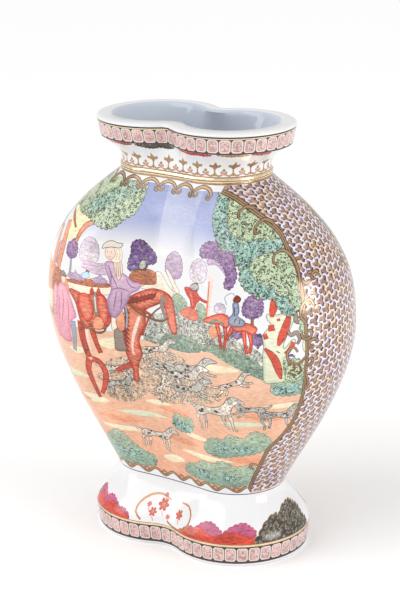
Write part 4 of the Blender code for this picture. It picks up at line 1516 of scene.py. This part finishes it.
class Effects:
    """The node groups that several finishes share."""

    def __init__(self) -> None:
        """Build each group once."""
        self.brushwork = self.make_brushwork()
        self.lattice = self.make_lattice()
        self.glaze_flow = self.make_glaze_flow()

    @staticmethod
    def make_brushwork() -> Tree:
        """Return the group that breaks a flat enamel into strokes and dabs."""
        tree, wires, start, end = Wires.group("brushwork", {"Place": "Vector", "Colour": "Color",
            "Streak": "Float", "Curl": "Float", "Hatch": "Float"}, {"Colour": "Color", "Height": "Float",
            "Roughness": "Float"})
        place, curl = start.outputs["Place"], start.outputs["Curl"]
        drawn = wires.add("Mapping", {"Vector": place, "Rotation": (0.0, -0.25, 0.0),
            "Scale": (1.0, 1.0, 3.6)}).outputs[0]
        strokes, wash = wires.noise(drawn, 320.0, 3.0), wires.noise(place, 70.0)
        tone = wires.sums("ADD", wires.sums("MULTIPLY_ADD", strokes, 2.0, -1.0),
            wires.sums("MULTIPLY_ADD", wash, 1.2, -0.6))
        toned = wires.scaled(start.outputs["Colour"], wires.sums("MULTIPLY_ADD", tone,
            start.outputs["Streak"], 0.93))
        pauses = wires.below(wires.noise(place, 520.0, 1.0), 0.6, 0.05)
        twist = wires.vector("MULTIPLY_ADD", wires.noise(place, 420.0, output="Color"),
            (0.0016, 0.0016, 0.0016), place)
        loops = wires.sums("ABSOLUTE", wires.sums("SUBTRACT", wires.cells(twist, 500.0), 0.33))
        worm = wires.sums("PINGPONG", wires.noise(twist, 400.0, 1.0), 0.1)
        curled = wires.sums("MAXIMUM", wires.below(loops, 0.09, 0.05), wires.below(worm, 0.026, 0.012))
        grass = wires.sums("PINGPONG", wires.noise(drawn, 210.0, 1.0, bent=0.7), 0.085)
        lines = wires.sums("MAXIMUM", wires.sums("MULTIPLY", curled, curl), wires.sums("MULTIPLY",
            wires.below(grass, 0.027, 0.012), start.outputs["Hatch"]))
        ink = wires.sums("MULTIPLY", lines, pauses, clamp=True)
        glow = wires.sums("MULTIPLY", wires.below(wires.cells(place, 330.0), 0.35, 0.12), 0.4)
        lit = wires.blend(wires.sums("MULTIPLY", glow, curl), toned, wires.blend(0.5, toned,
            (1.0, 0.97, 0.8, 1.0)))
        dark = wires.blend(1.0, toned, (0.09, 0.08, 0.07, 1.0), "MULTIPLY")
        wires.fill(end, {"Colour": wires.blend(ink, lit, dark), "Height": wires.sums("ADD", ink, strokes),
            "Roughness": wires.sums("MULTIPLY_ADD", wash, 0.12, 0.1)})
        return tree

    @staticmethod
    def make_lattice() -> Tree:
        """Return the group that measures how far a place is from a lattice of three-armed hooks."""
        tree, wires, start, end = Wires.group("hook lattice", {"Place": "Vector", "Pitch": "Float"},
            {"Distance": "Float"})
        fore = (0.5, math.sqrt(3) / 2, 0.5)
        back = tuple(-value for value in fore)
        scaled = wires.scaled(start.outputs["Place"], wires.sums("DIVIDE", 1.0, start.outputs["Pitch"]))
        moved = wires.vector("SUBTRACT", scaled, (*fore[:2], 0.0))
        sites = [wires.vector("WRAP", place, fore, back) for place in (scaled, moved)]
        lengths = [wires.vector("LENGTH", site) for site in sites]
        nearer = wires.add("Mix", {0: wires.sums("GREATER_THAN", *lengths), 4: sites[0], 5: sites[1]},
            data_type="VECTOR").outputs[1]
        split = wires.add("SeparateXYZ", {0: nearer})
        reach = wires.sums("MINIMUM", *lengths)
        angle = wires.sums("ARCTAN2", split.outputs["Y"], split.outputs["X"])
        third = math.pi / 3
        folded = wires.sums("WRAP", angle, third, -third)
        x = wires.sums("MULTIPLY", reach, wires.sums("COSINE", folded))
        y = wires.sums("MULTIPLY", reach, wires.sums("SINE", folded))
        arm, hook, lean = 0.32, 0.22, (0.5, math.sqrt(3) / 2)
        past = wires.sums("SUBTRACT", x, wires.held(x, arm))
        straight = wires.hypotenuse(past, y)
        beyond = wires.sums("SUBTRACT", x, arm)
        along = wires.sums("MULTIPLY_ADD", beyond, lean[0], wires.sums("MULTIPLY", y, lean[1]))
        along = wires.held(along, hook)
        off_x = wires.sums("MULTIPLY_ADD", along, -lean[0], beyond)
        off_y = wires.sums("MULTIPLY_ADD", along, -lean[1], y)
        near = wires.sums("MINIMUM", straight, wires.hypotenuse(off_x, off_y))
        wires.fill(end, {"Distance": wires.sums("MULTIPLY", near, start.outputs["Pitch"])})
        return tree

    @staticmethod
    def make_glaze_flow() -> Tree:
        """Return the group that gives fired glaze its slow waves, pinholes and faint tint."""
        tree, wires, start, end = Wires.group("glaze flow", {"Place": "Vector", "Colour": "Color"},
            {"Colour": "Color", "Height": "Float", "Roughness": "Float"})
        place = start.outputs["Place"]
        slow = wires.noise(place, 26.0, 1.0)
        pit = wires.below(wires.cells(place, 120.0), 0.035, 0.02)
        tinge = wires.blend(wires.sums("MULTIPLY", wires.noise(place, 14.0), 0.5), (1, 1, 1, 1),
            (0.93, 0.95, 0.99, 1))
        wires.fill(end, {"Colour": wires.blend(1.0, start.outputs["Colour"], tinge, "MULTIPLY"),
            "Height": wires.sums("MULTIPLY_ADD", pit, -0.3, slow),
            "Roughness": wires.sums("MULTIPLY_ADD", slow, 0.05, 0.06)})
        return tree


@dataclass(frozen=True)
class Surface:
    """What the finishes share: a name, a colour and a sheen."""

    name: str
    colour: tuple = (255, 255, 255)
    metallic: float = 0.0
    bump: float = 0.05

    def start(self) -> tuple:
        """Start a material.

        Returns:
            The material, its wires, its shader node and its object coordinates.
        """
        material = bpy.data.materials.new(self.name)
        material.use_nodes = True
        material.diffuse_color = tint(*self.colour)
        wires = Wires(material.node_tree)
        shader = wires.add("BsdfPrincipled", {"Metallic": self.metallic, "IOR": 1.52})
        wires.add("OutputMaterial", {"Surface": shader.outputs[0]})
        place = wires.add("TexCoord").outputs["Object"]
        return material, wires, shader, place

    def finish(self, wires: Wires, shader: Node, colour: Input, height: Input, roughness: Input,
               depth: float = 0.00006) -> None:
        """Join a colour, a height and a roughness to the shader."""
        bump = wires.add("Bump", {"Height": height, "Strength": self.bump, "Distance": depth})
        wires.fill(shader, {"Base Color": colour, "Roughness": roughness, "Normal": bump.outputs[0]})

    @staticmethod
    def group(wires: Wires, tree: Tree, inputs: dict) -> Node:
        """Place a shared effect in the material.

        Args:
            wires: the wires of the material.
            tree: the effect.
            inputs: values or sockets, by name.

        Returns:
            The node of the effect.
        """
        node = wires.add("Group", node_tree=tree)
        wires.fill(node, inputs)
        return node


@dataclass(frozen=True)
class Glaze(Surface):
    """Clear glaze over white or tinted porcelain; the lining's blue-grey is partly the glaze's own tint and
    partly painted shade.
    """

    def make(self, effects: Effects) -> bpy.types.Material:
        """Build the glaze."""
        material, wires, shader, place = self.start()
        flow = self.group(wires, effects.glaze_flow, {"Place": place, "Colour": tint(*self.colour)})
        self.finish(wires, shader, *flow.outputs, depth=0.0006)
        return material


@dataclass(frozen=True)
class Brushed(Surface):
    """Enamel or gilt that is laid by brush; its colour is written on the skin."""

    def make(self, effects: Effects) -> bpy.types.Material:
        """Build the painted finish."""
        material, wires, shader, place = self.start()
        laid = wires.add("Attribute", attribute_name=PaintedSkin.COLOUR, attribute_type="GEOMETRY")
        hand = wires.add("Attribute", attribute_name=PaintedSkin.HAND, attribute_type="GEOMETRY")
        strengths = wires.add("SeparateXYZ", {0: hand.outputs["Vector"]})
        brush = self.group(wires, effects.brushwork, {"Place": place, "Colour": laid.outputs["Color"],
            "Streak": strengths.outputs["X"], "Curl": strengths.outputs["Y"],
            "Hatch": strengths.outputs["Z"]})
        self.finish(wires, shader, *brush.outputs)
        return material


@dataclass(frozen=True)
class Diaper(Surface):
    """The ends' close net of pale hooks, edged dark, over a gilt-brown ground."""

    pitch: float = 5.8
    line: float = 0.54
    edge: float = 0.72
    shift: tuple = (0.52, -0.44, 0.0)
    hook: tuple = (236, 232, 236)
    rim: tuple = (58, 42, 46)

    def make(self, effects: Effects) -> bpy.types.Material:
        """Build the net."""
        material, wires, shader, place = self.start()
        spread = wires.add("UVMap", uv_map=PaintedSkin.DEVELOPED).outputs[0]
        moved = wires.vector("MULTIPLY_ADD", wires.noise(place, 300.0, output="Color"), (2.4, 2.4, 0.0),
            wires.scaled(spread, 1 / MM))
        away, shadow = (self.group(wires, effects.lattice, {"Place": spot, "Pitch": self.pitch}).outputs[0]
            for spot in (moved, wires.vector("ADD", moved, self.shift)))
        ground = wires.blend(wires.below(wires.noise(place, 260.0), 0.5, 0.08), tint(*self.colour),
            tint(146, 114, 98))
        edged = wires.blend(wires.below(shadow, self.edge, 0.1), ground, tint(*self.rim))
        cool = wires.blend(wires.noise(place, 120.0), tint(*self.hook), tint(206, 192, 220))
        pale = wires.blend(wires.below(wires.noise(place, 160.0), 0.42, 0.05), cool, tint(230, 204, 176))
        self.finish(wires, shader, wires.blend(wires.below(away, self.line, 0.08), edged, pale),
            wires.below(away, self.edge, 0.2), wires.sums("MULTIPLY_ADD", wires.noise(place, 60.0), 0.15,
            0.12))
        return material


@dataclass(frozen=True)
class Biscuit(Surface):
    """Bare fired body where the foot ring stands, slightly rough and worn grey."""

    def make(self, effects: Effects) -> bpy.types.Material:
        """Build the bare body."""
        material, wires, shader, place = self.start()
        grain = wires.noise(place, 1800.0, 4.0)
        worn = wires.blend(wires.sums("MULTIPLY", wires.noise(place, 90.0, 3.0), 0.7), tint(*self.colour),
            tint(168, 152, 134))
        self.finish(wires, shader, worn, grain, wires.sums("MULTIPLY_ADD", grain, 0.2, 0.6), 0.0002)
        return material


class PaintedSkin:
    """The outside of the vase as a mesh cut along its painting."""

    COLOUR = "enamel"
    HAND = "brushwork"
    DEVELOPED = "developed"
    NORMAL = "true_normal"

    def __init__(self, canvas: Canvas, around: int) -> None:
        """Keep the canvas.

        Args:
            canvas: the developed surface with its patches.
            around: points round each level of the form.
        """
        self.canvas = canvas
        self.form = canvas.form
        self.around = around

    def build(self) -> bpy.types.Object:
        """Return the skin as an object, coloured, with its finishes by face."""
        places, triangles, patch = self.canvas.cut(self.around)
        form = self.form
        share, height = places[:, 0] / self.canvas.width, places[:, 1]
        mesh = bpy.data.meshes.new("painted_skin")
        mesh.from_pydata((form.point(share, height) * MM).tolist(), [], triangles.tolist())
        skin = bpy.data.objects.new("painted_skin", mesh)
        bpy.context.collection.objects.link(skin)
        corner = triangles.ravel()
        owner = np.repeat(patch, 3)
        middle = np.repeat(height[triangles].mean(axis=1), 3)
        normals = form.normal(share[corner], height[corner], middle)
        self.write(mesh, self.NORMAL, "FLOAT_VECTOR", "vector", normals)
        colours, hands = self.colours(owner, height[corner])
        self.write(mesh, self.COLOUR, "FLOAT_COLOR", "color", colours)
        self.write(mesh, self.HAND, "FLOAT_VECTOR", "vector", hands)
        layer = mesh.uv_layers.new(name=self.DEVELOPED)
        layer.data.foreach_set("uv", self.developed(share, height, triangles).ravel())
        finishes = np.array([paint.finish.value for paint in self.canvas.paints] + [0])
        mesh.attributes.new("material_index", "INT", "FACE").data.foreach_set("value",
            finishes[patch].astype(np.int32))
        LOG.info("painted skin: %d patches, %d triangles", len(self.canvas.paints), len(triangles))
        return skin

    @staticmethod
    def write(mesh: bpy.types.Mesh, name: str, kind: str, key: str, values: Points) -> None:
        """Write one value per face corner as a named attribute."""
        attribute = mesh.attributes.new(name, kind, "CORNER")
        attribute.data.foreach_set(key, np.asarray(values, np.float32).ravel())

    def colours(self, owner: Points, height: Points) -> tuple:
        """Return the colour and the brushwork at each face corner.

        Args:
            owner: number of the patch at each corner, or -1.
            height: height of each corner.

        Returns:
            Four colour channels a corner, and three brushwork strengths a corner.
        """
        rows = [(*np.ravel(paint.colours()), outline[:, 1].min(), outline[:, 1].max(), paint.streak,
            paint.curl, paint.hatch) for outline, paint in zip(self.canvas.outlines, self.canvas.paints)]
        rows.append((1, 1, 1, 1, 1, 1, 0, 1, 0, 0, 0))
        look = np.array(rows, float)[owner]
        rise = np.clip((height - look[:, 6]) / (look[:, 7] - look[:, 6]), 0, 1)[:, None]
        colours = mix(look[:, 3:6], look[:, :3], rise)
        return np.hstack([colours, np.ones((len(owner), 1))]), look[:, 8:]

    def developed(self, share: Points, height: Points, triangles: Points) -> Points:
        """Return each corner's place measured from the middle of its end, in metres.

        Args:
            share: share of the way round of each point.
            height: height of each point.
            triangles: corners of each triangle.

        Returns:
            Two distances a corner.
        """
        form = self.form
        levels = np.linspace(0, form.top_z, 1001)
        reach = form.plan(levels)[0]
        climb = np.concatenate([[0], np.cumsum(np.hypot(np.diff(levels), np.diff(reach)))])
        up = np.interp(height, levels, climb)
        girth = form.girth(height)
        middle = share[triangles].mean(axis=1)
        end = np.where(middle < Side.FRONT.value, 0.0, np.where(middle < Side.BACK.value, 0.5, 1.0))
        along = (share[triangles] - end[:, None]) * girth[triangles]
        return np.stack([along, up[triangles]], -1).reshape(-1, 2) * MM


@dataclass
class Vase:
    """The one piece of porcelain: painted skin, rolled lip, lining and hollow foot."""

    form: VaseForm
    around: int = 150
    wall: float = 4.2
    floor: float = 6.0
    floor_round: float = 6.0
    foot_wall: float = 4.8
    foot_ring: float = 6.0
    lip_width: float = 9.8
    lip_round: float = 2.6

    def plan_at(self, height: float) -> Plan:
        """Return the outside plan at one height."""
        return Plan(*(float(part[0]) for part in self.form.plan(np.array([height]))))

    def inner_plan(self, height: float, wall: float, low: float, high: float) -> Plan:
        """Return the inside of a wall of true thickness, square to the sloping outside.

        Args:
            height: height of the level.
            wall: thickness of the wall.
            low: lowest height that the outside curve holds for.
            high: highest height that it holds for.

        Returns:
            The inside plan.
        """
        below, above = max(low, height - wall / 4), min(high, height + wall / 4)
        under, over, here = self.plan_at(below), self.plan_at(above), self.plan_at(height)
        along = (over.half_length - under.half_length) / (above - below)
        across = (over.half_depth - under.half_depth) / (above - below)
        return here.inset(wall * math.hypot(1, along), wall * math.hypot(1, across))

    def lip_levels(self) -> list:
        """Return the levels over the rolled lip, from the top of the rim band inwards."""
        form, levels = self.form, [(self.form.top_z, self.form.rim_plan)]
        for turn in np.radians((15, 30, 45, 60, 75, 90)):
            levels.append((form.top_z + form.lip_rise * math.sin(turn),
                form.rim_plan.inset(self.lip_round * (1 - math.cos(turn)))))
        levels.append((form.top_z + form.lip_rise, form.rim_plan.inset(self.lip_width - self.lip_round / 2)))
        return levels

    def lining_levels(self) -> list:
        """Return the levels of the inside, from the lip down to the edge of the floor."""
        form = self.form
        mouth, throat = form.rim_plan.inset(self.lip_width), form.neck_plan.inset(self.wall)
        top = form.top_z + form.lip_rise
        levels = [self.lip_levels()[-1]]
        start, end = top - self.lip_round / 2, form.flare_z - self.wall / 2
        for share in np.linspace(0, 1, 13):
            eased = 1 - (1 - share) ** form.flare_power
            levels.append((mix(start, end, share), Plan(mix(mouth.half_length, throat.half_length, eased),
                mix(mouth.half_depth, throat.half_depth, eased), mix(mouth.filling, throat.filling, share))))
        levels.append((form.neck_z - self.wall / 2, throat))
        low = form.stem_z + self.floor / 2 + self.floor_round
        high = mix(form.belly_z, form.neck_z, 0.9)
        for height in np.linspace(high, low, 31):
            levels.append((height, self.inner_plan(height, self.wall, form.stem_z, form.neck_z)))
        for turn in np.radians((30, 60, 90)):
            height = low - self.floor_round * math.sin(turn)
            wall = self.inner_plan(height, self.wall, form.stem_z, form.neck_z)
            levels.append((height, wall.inset(self.floor_round * (1 - math.cos(turn)))))
        return levels

    def recess_levels(self) -> list:
        """Return the levels under the foot, from the roof of its hollow to the foot ring."""
        form = self.form
        edge = form.band_taper + form.edge_taper
        opening = form.foot_plan.inset(edge + self.foot_ring)
        levels = []
        for height in np.linspace(form.stem_z - self.floor / 2, form.foot_z, 9):
            wall = self.inner_plan(height, self.foot_wall, form.foot_z, form.stem_z)
            levels.append((height, Plan(min(wall.half_length, opening.half_length), min(wall.half_depth,
                opening.half_depth), wall.filling)))
        return levels + [(0.0, opening)]

    def wrap(self, name: str, levels: list, finish: Finish) -> bpy.types.Object:
        """Wrap a flat grid round a list of levels.

        Args:
            name: name of the new object.
            levels: heights and plans, in the order that turns the faces outwards.
            finish: its material slot.

        Returns:
            The wrapped grid.
        """
        bpy.ops.object.select_all(action="DESELECT")
        bpy.ops.mesh.primitive_grid_add(x_subdivisions=self.around, y_subdivisions=len(levels) - 1, size=2)
        grid = bpy.context.object
        grid.name = name
        flat = np.array([vertex.co[:] for vertex in grid.data.vertices])
        place = (flat[:, 0] + 1) / 2
        row = np.rint((flat[:, 1] + 1) / 2 * (len(levels) - 1)).astype(int)
        sizes = np.array([(height, plan.half_length, plan.half_depth, plan.filling) for height,
            plan in levels])[row]
        x, y = self.form.around(sizes[:, 1], sizes[:, 2], sizes[:, 3], place)
        grid.data.vertices.foreach_set("co", (np.stack([x, y, sizes[:, 0]], 1) * MM).ravel())
        while grid.data.uv_layers:
            grid.data.uv_layers.remove(grid.data.uv_layers[0])
        grid.data.attributes.new("material_index", "INT", "FACE").data.foreach_set("value",
            [finish.value] * len(grid.data.polygons))
        bpy.ops.object.shade_smooth_by_angle(angle=math.radians(50))
        return grid

    def build(self, canvas: Canvas, materials: list) -> bpy.types.Object:
        """Build the whole vase.

        Args:
            canvas: the painting.
            materials: one material per finish, in the order of their slots.

        Returns:
            The vase, one closed mesh with its origin at the world's.
        """
        skin = PaintedSkin(canvas, self.around).build()
        outer_edge = self.form.foot_plan.inset(self.form.band_taper + self.form.edge_taper)
        recess = self.recess_levels()
        parts = [self.wrap("lip", self.lip_levels(), Finish.GLAZE), self.wrap("lining", self.lining_levels(),
            Finish.LINING), self.wrap("foot_hollow", recess, Finish.GLAZE), self.wrap("foot_ring",
            [recess[-1], (0.0, outer_edge)], Finish.BISCUIT), skin]
        for part in parts:
            for material in materials:
                part.data.materials.append(material)
            part.select_set(True)
        bpy.context.view_layer.objects.active = skin
        bpy.ops.object.join()
        vase = bpy.context.object
        vase.name = vase.data.name = "vase"
        bpy.ops.object.mode_set(mode="EDIT")
        bpy.ops.mesh.select_all(action="SELECT")
        bpy.ops.mesh.remove_doubles(threshold=0.004 * MM)
        bpy.ops.mesh.select_all(action="DESELECT")
        bpy.ops.mesh.select_non_manifold(extend=False)
        bpy.ops.mesh.fill_holes(sides=0)
        bpy.ops.object.mode_set(mode="OBJECT")
        self.set_normals(vase.data)
        return vase

    @staticmethod
    def set_normals(mesh: bpy.types.Mesh) -> None:
        """Give the skin the true normals of the form; zero leaves Blender's own."""
        mesh.polygons.foreach_set("use_smooth", [True] * len(mesh.polygons))
        attribute = mesh.attributes[PaintedSkin.NORMAL]
        normals = np.zeros(len(mesh.loops) * 3, np.float32)
        attribute.data.foreach_get("vector", normals)
        mesh.attributes.remove(attribute)
        mesh.normals_split_custom_set(normals.reshape(-1, 3).tolist())


@dataclass
class Studio:
    """The pale floor, the soft lights and the camera, in metres."""

    target: tuple = (0.0, 0.0, 0.125)
    floor_size: float = 14.0
    floor_colour: tuple = (0.99, 0.99, 0.99, 1.0)
    sun: tuple = (1.0, 48, (42, -28, 0))
    lamps: tuple = (("left softbox", (-1.0, -0.95, 0.45), (0.5, 0.7), 2.6), ("right softbox",
        (1.4, 0.0, 0.4), (0.6, 0.6), 7.5))
    world_strength: float = 0.78
    azimuth: float = 0.6328
    elevation: float = 0.3256
    distance: float = 1.011
    focal_px: float = 1735.56
    centre_px: tuple = (198.84, 329.50)
    frame_px: tuple = (400, 600)
    roll: float = 0.0168
    sensor: float = 36.0

    def build(self) -> None:
        """Build all of it."""
        self.add_floor()
        self.add_lights()
        self.add_camera()

    def add_camera(self) -> None:
        """Aim the camera along the ray of the photograph's middle, with its roll."""
        sin_a, cos_a = math.sin(self.azimuth), math.cos(self.azimuth)
        sin_e, cos_e = math.sin(self.elevation), math.cos(self.elevation)
        back = Vector((sin_a * cos_e, -cos_a * cos_e, sin_e))
        right = Vector((cos_a, sin_a, 0))
        up = back.cross(right)
        across = self.frame_px[0] / 2 - self.centre_px[0]
        high = self.centre_px[1] - self.frame_px[1] / 2
        cos_r, sin_r = math.cos(self.roll), math.sin(self.roll)
        u, v = cos_r * across + sin_r * high, -sin_r * across + cos_r * high
        aim = (right * u / self.focal_px + up * v / self.focal_px - back).normalized()
        rolled = (right * cos_r - up * sin_r)
        rolled = (rolled - aim * rolled.dot(aim)).normalized()
        upright = rolled.cross(aim)
        data = bpy.data.cameras.new("camera")
        data.sensor_width = self.sensor
        data.lens = self.sensor * self.focal_px / max(self.frame_px)
        camera = bpy.data.objects.new("camera", data)
        bpy.context.collection.objects.link(camera)
        turn = Matrix((rolled, upright, -aim)).transposed()
        camera.matrix_world = (Matrix.Translation(Vector(self.target) + back * self.distance) @
            turn.to_4x4())
        bpy.context.scene.camera = camera

    def add_floor(self) -> None:
        """Lay the floor, large enough to fill the view."""
        bpy.ops.object.select_all(action="DESELECT")
        bpy.ops.mesh.primitive_plane_add(size=self.floor_size)
        floor = bpy.context.object
        floor.name = "floor"
        material = bpy.data.materials.new("floor paper")
        material.use_nodes = True
        shader = material.node_tree.nodes["Principled BSDF"]
        shader.inputs["Base Color"].default_value = self.floor_colour
        shader.inputs["Roughness"].default_value = 0.9
        shader.inputs["Specular IOR Level"].default_value = 0.1
        floor.data.materials.append(material)

    def add_lights(self) -> None:
        """Hang the softboxes and light the room evenly."""
        sun = bpy.data.objects.new("skylight", bpy.data.lights.new("skylight", "SUN"))
        sun.data.energy, angle, turns = self.sun
        sun.data.angle = math.radians(angle)
        sun.rotation_euler = [math.radians(turn) for turn in turns]
        bpy.context.collection.objects.link(sun)
        for name, place, size, power in self.lamps:
            data = bpy.data.lights.new(name, "AREA")
            data.shape = "RECTANGLE"
            data.size, data.size_y = size
            data.energy = power
            lamp = bpy.data.objects.new(name, data)
            bpy.context.collection.objects.link(lamp)
            lamp.location = place
            lamp.rotation_mode = "QUATERNION"
            lamp.rotation_quaternion = (Vector(self.target) - Vector(place)).to_track_quat("-Z", "Y")
        world = bpy.data.worlds.new("studio")
        world.use_nodes = True
        world.node_tree.nodes["Background"].inputs["Color"].default_value = (1, 1, 1, 1)
        world.node_tree.nodes["Background"].inputs["Strength"].default_value = self.world_strength
        bpy.context.scene.world = world
        bpy.context.scene.view_settings.view_transform = "Standard"


def make_materials() -> list:
    """Return one material for each finish, in the order of the slots."""
    effects = Effects()
    finishes = {Finish.GLAZE: Glaze("white glaze", (226, 225, 225)),
        Finish.ENAMEL: Brushed("painted enamel", bump=0.1),
        Finish.GILDING: Brushed("bright gilding", metallic=1.0), Finish.OLD_GILT: Brushed("brown gilding",
        metallic=0.35, bump=0.1), Finish.DIAPER: Diaper("hook diaper", (176, 146, 120), metallic=0.15),
        # The lining's blue-grey is partly the glaze's own tint and partly painted shade of the hollow inside
        # the mouth.
        Finish.LINING: Glaze("lining glaze with painted shade", (194, 201, 212)),
        Finish.BISCUIT: Biscuit("unglazed foot ring", (214, 204, 190)), }
    return [finishes[finish].make(effects) for finish in Finish]


def main() -> None:
    """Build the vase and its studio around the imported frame."""
    logging.basicConfig(level=logging.INFO, format="%(name)s: %(message)s")
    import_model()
    form = VaseForm()
    canvas = Canvas(form)
    paint_vase(canvas)
    vase = Vase(form).build(canvas, make_materials())
    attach(vase, "root")
    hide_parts("double_vase")
    LOG.info("vase: %d vertices, %d faces", len(vase.data.vertices), len(vase.data.polygons))
    Studio().build()


if __name__ == "__main__":
    main()
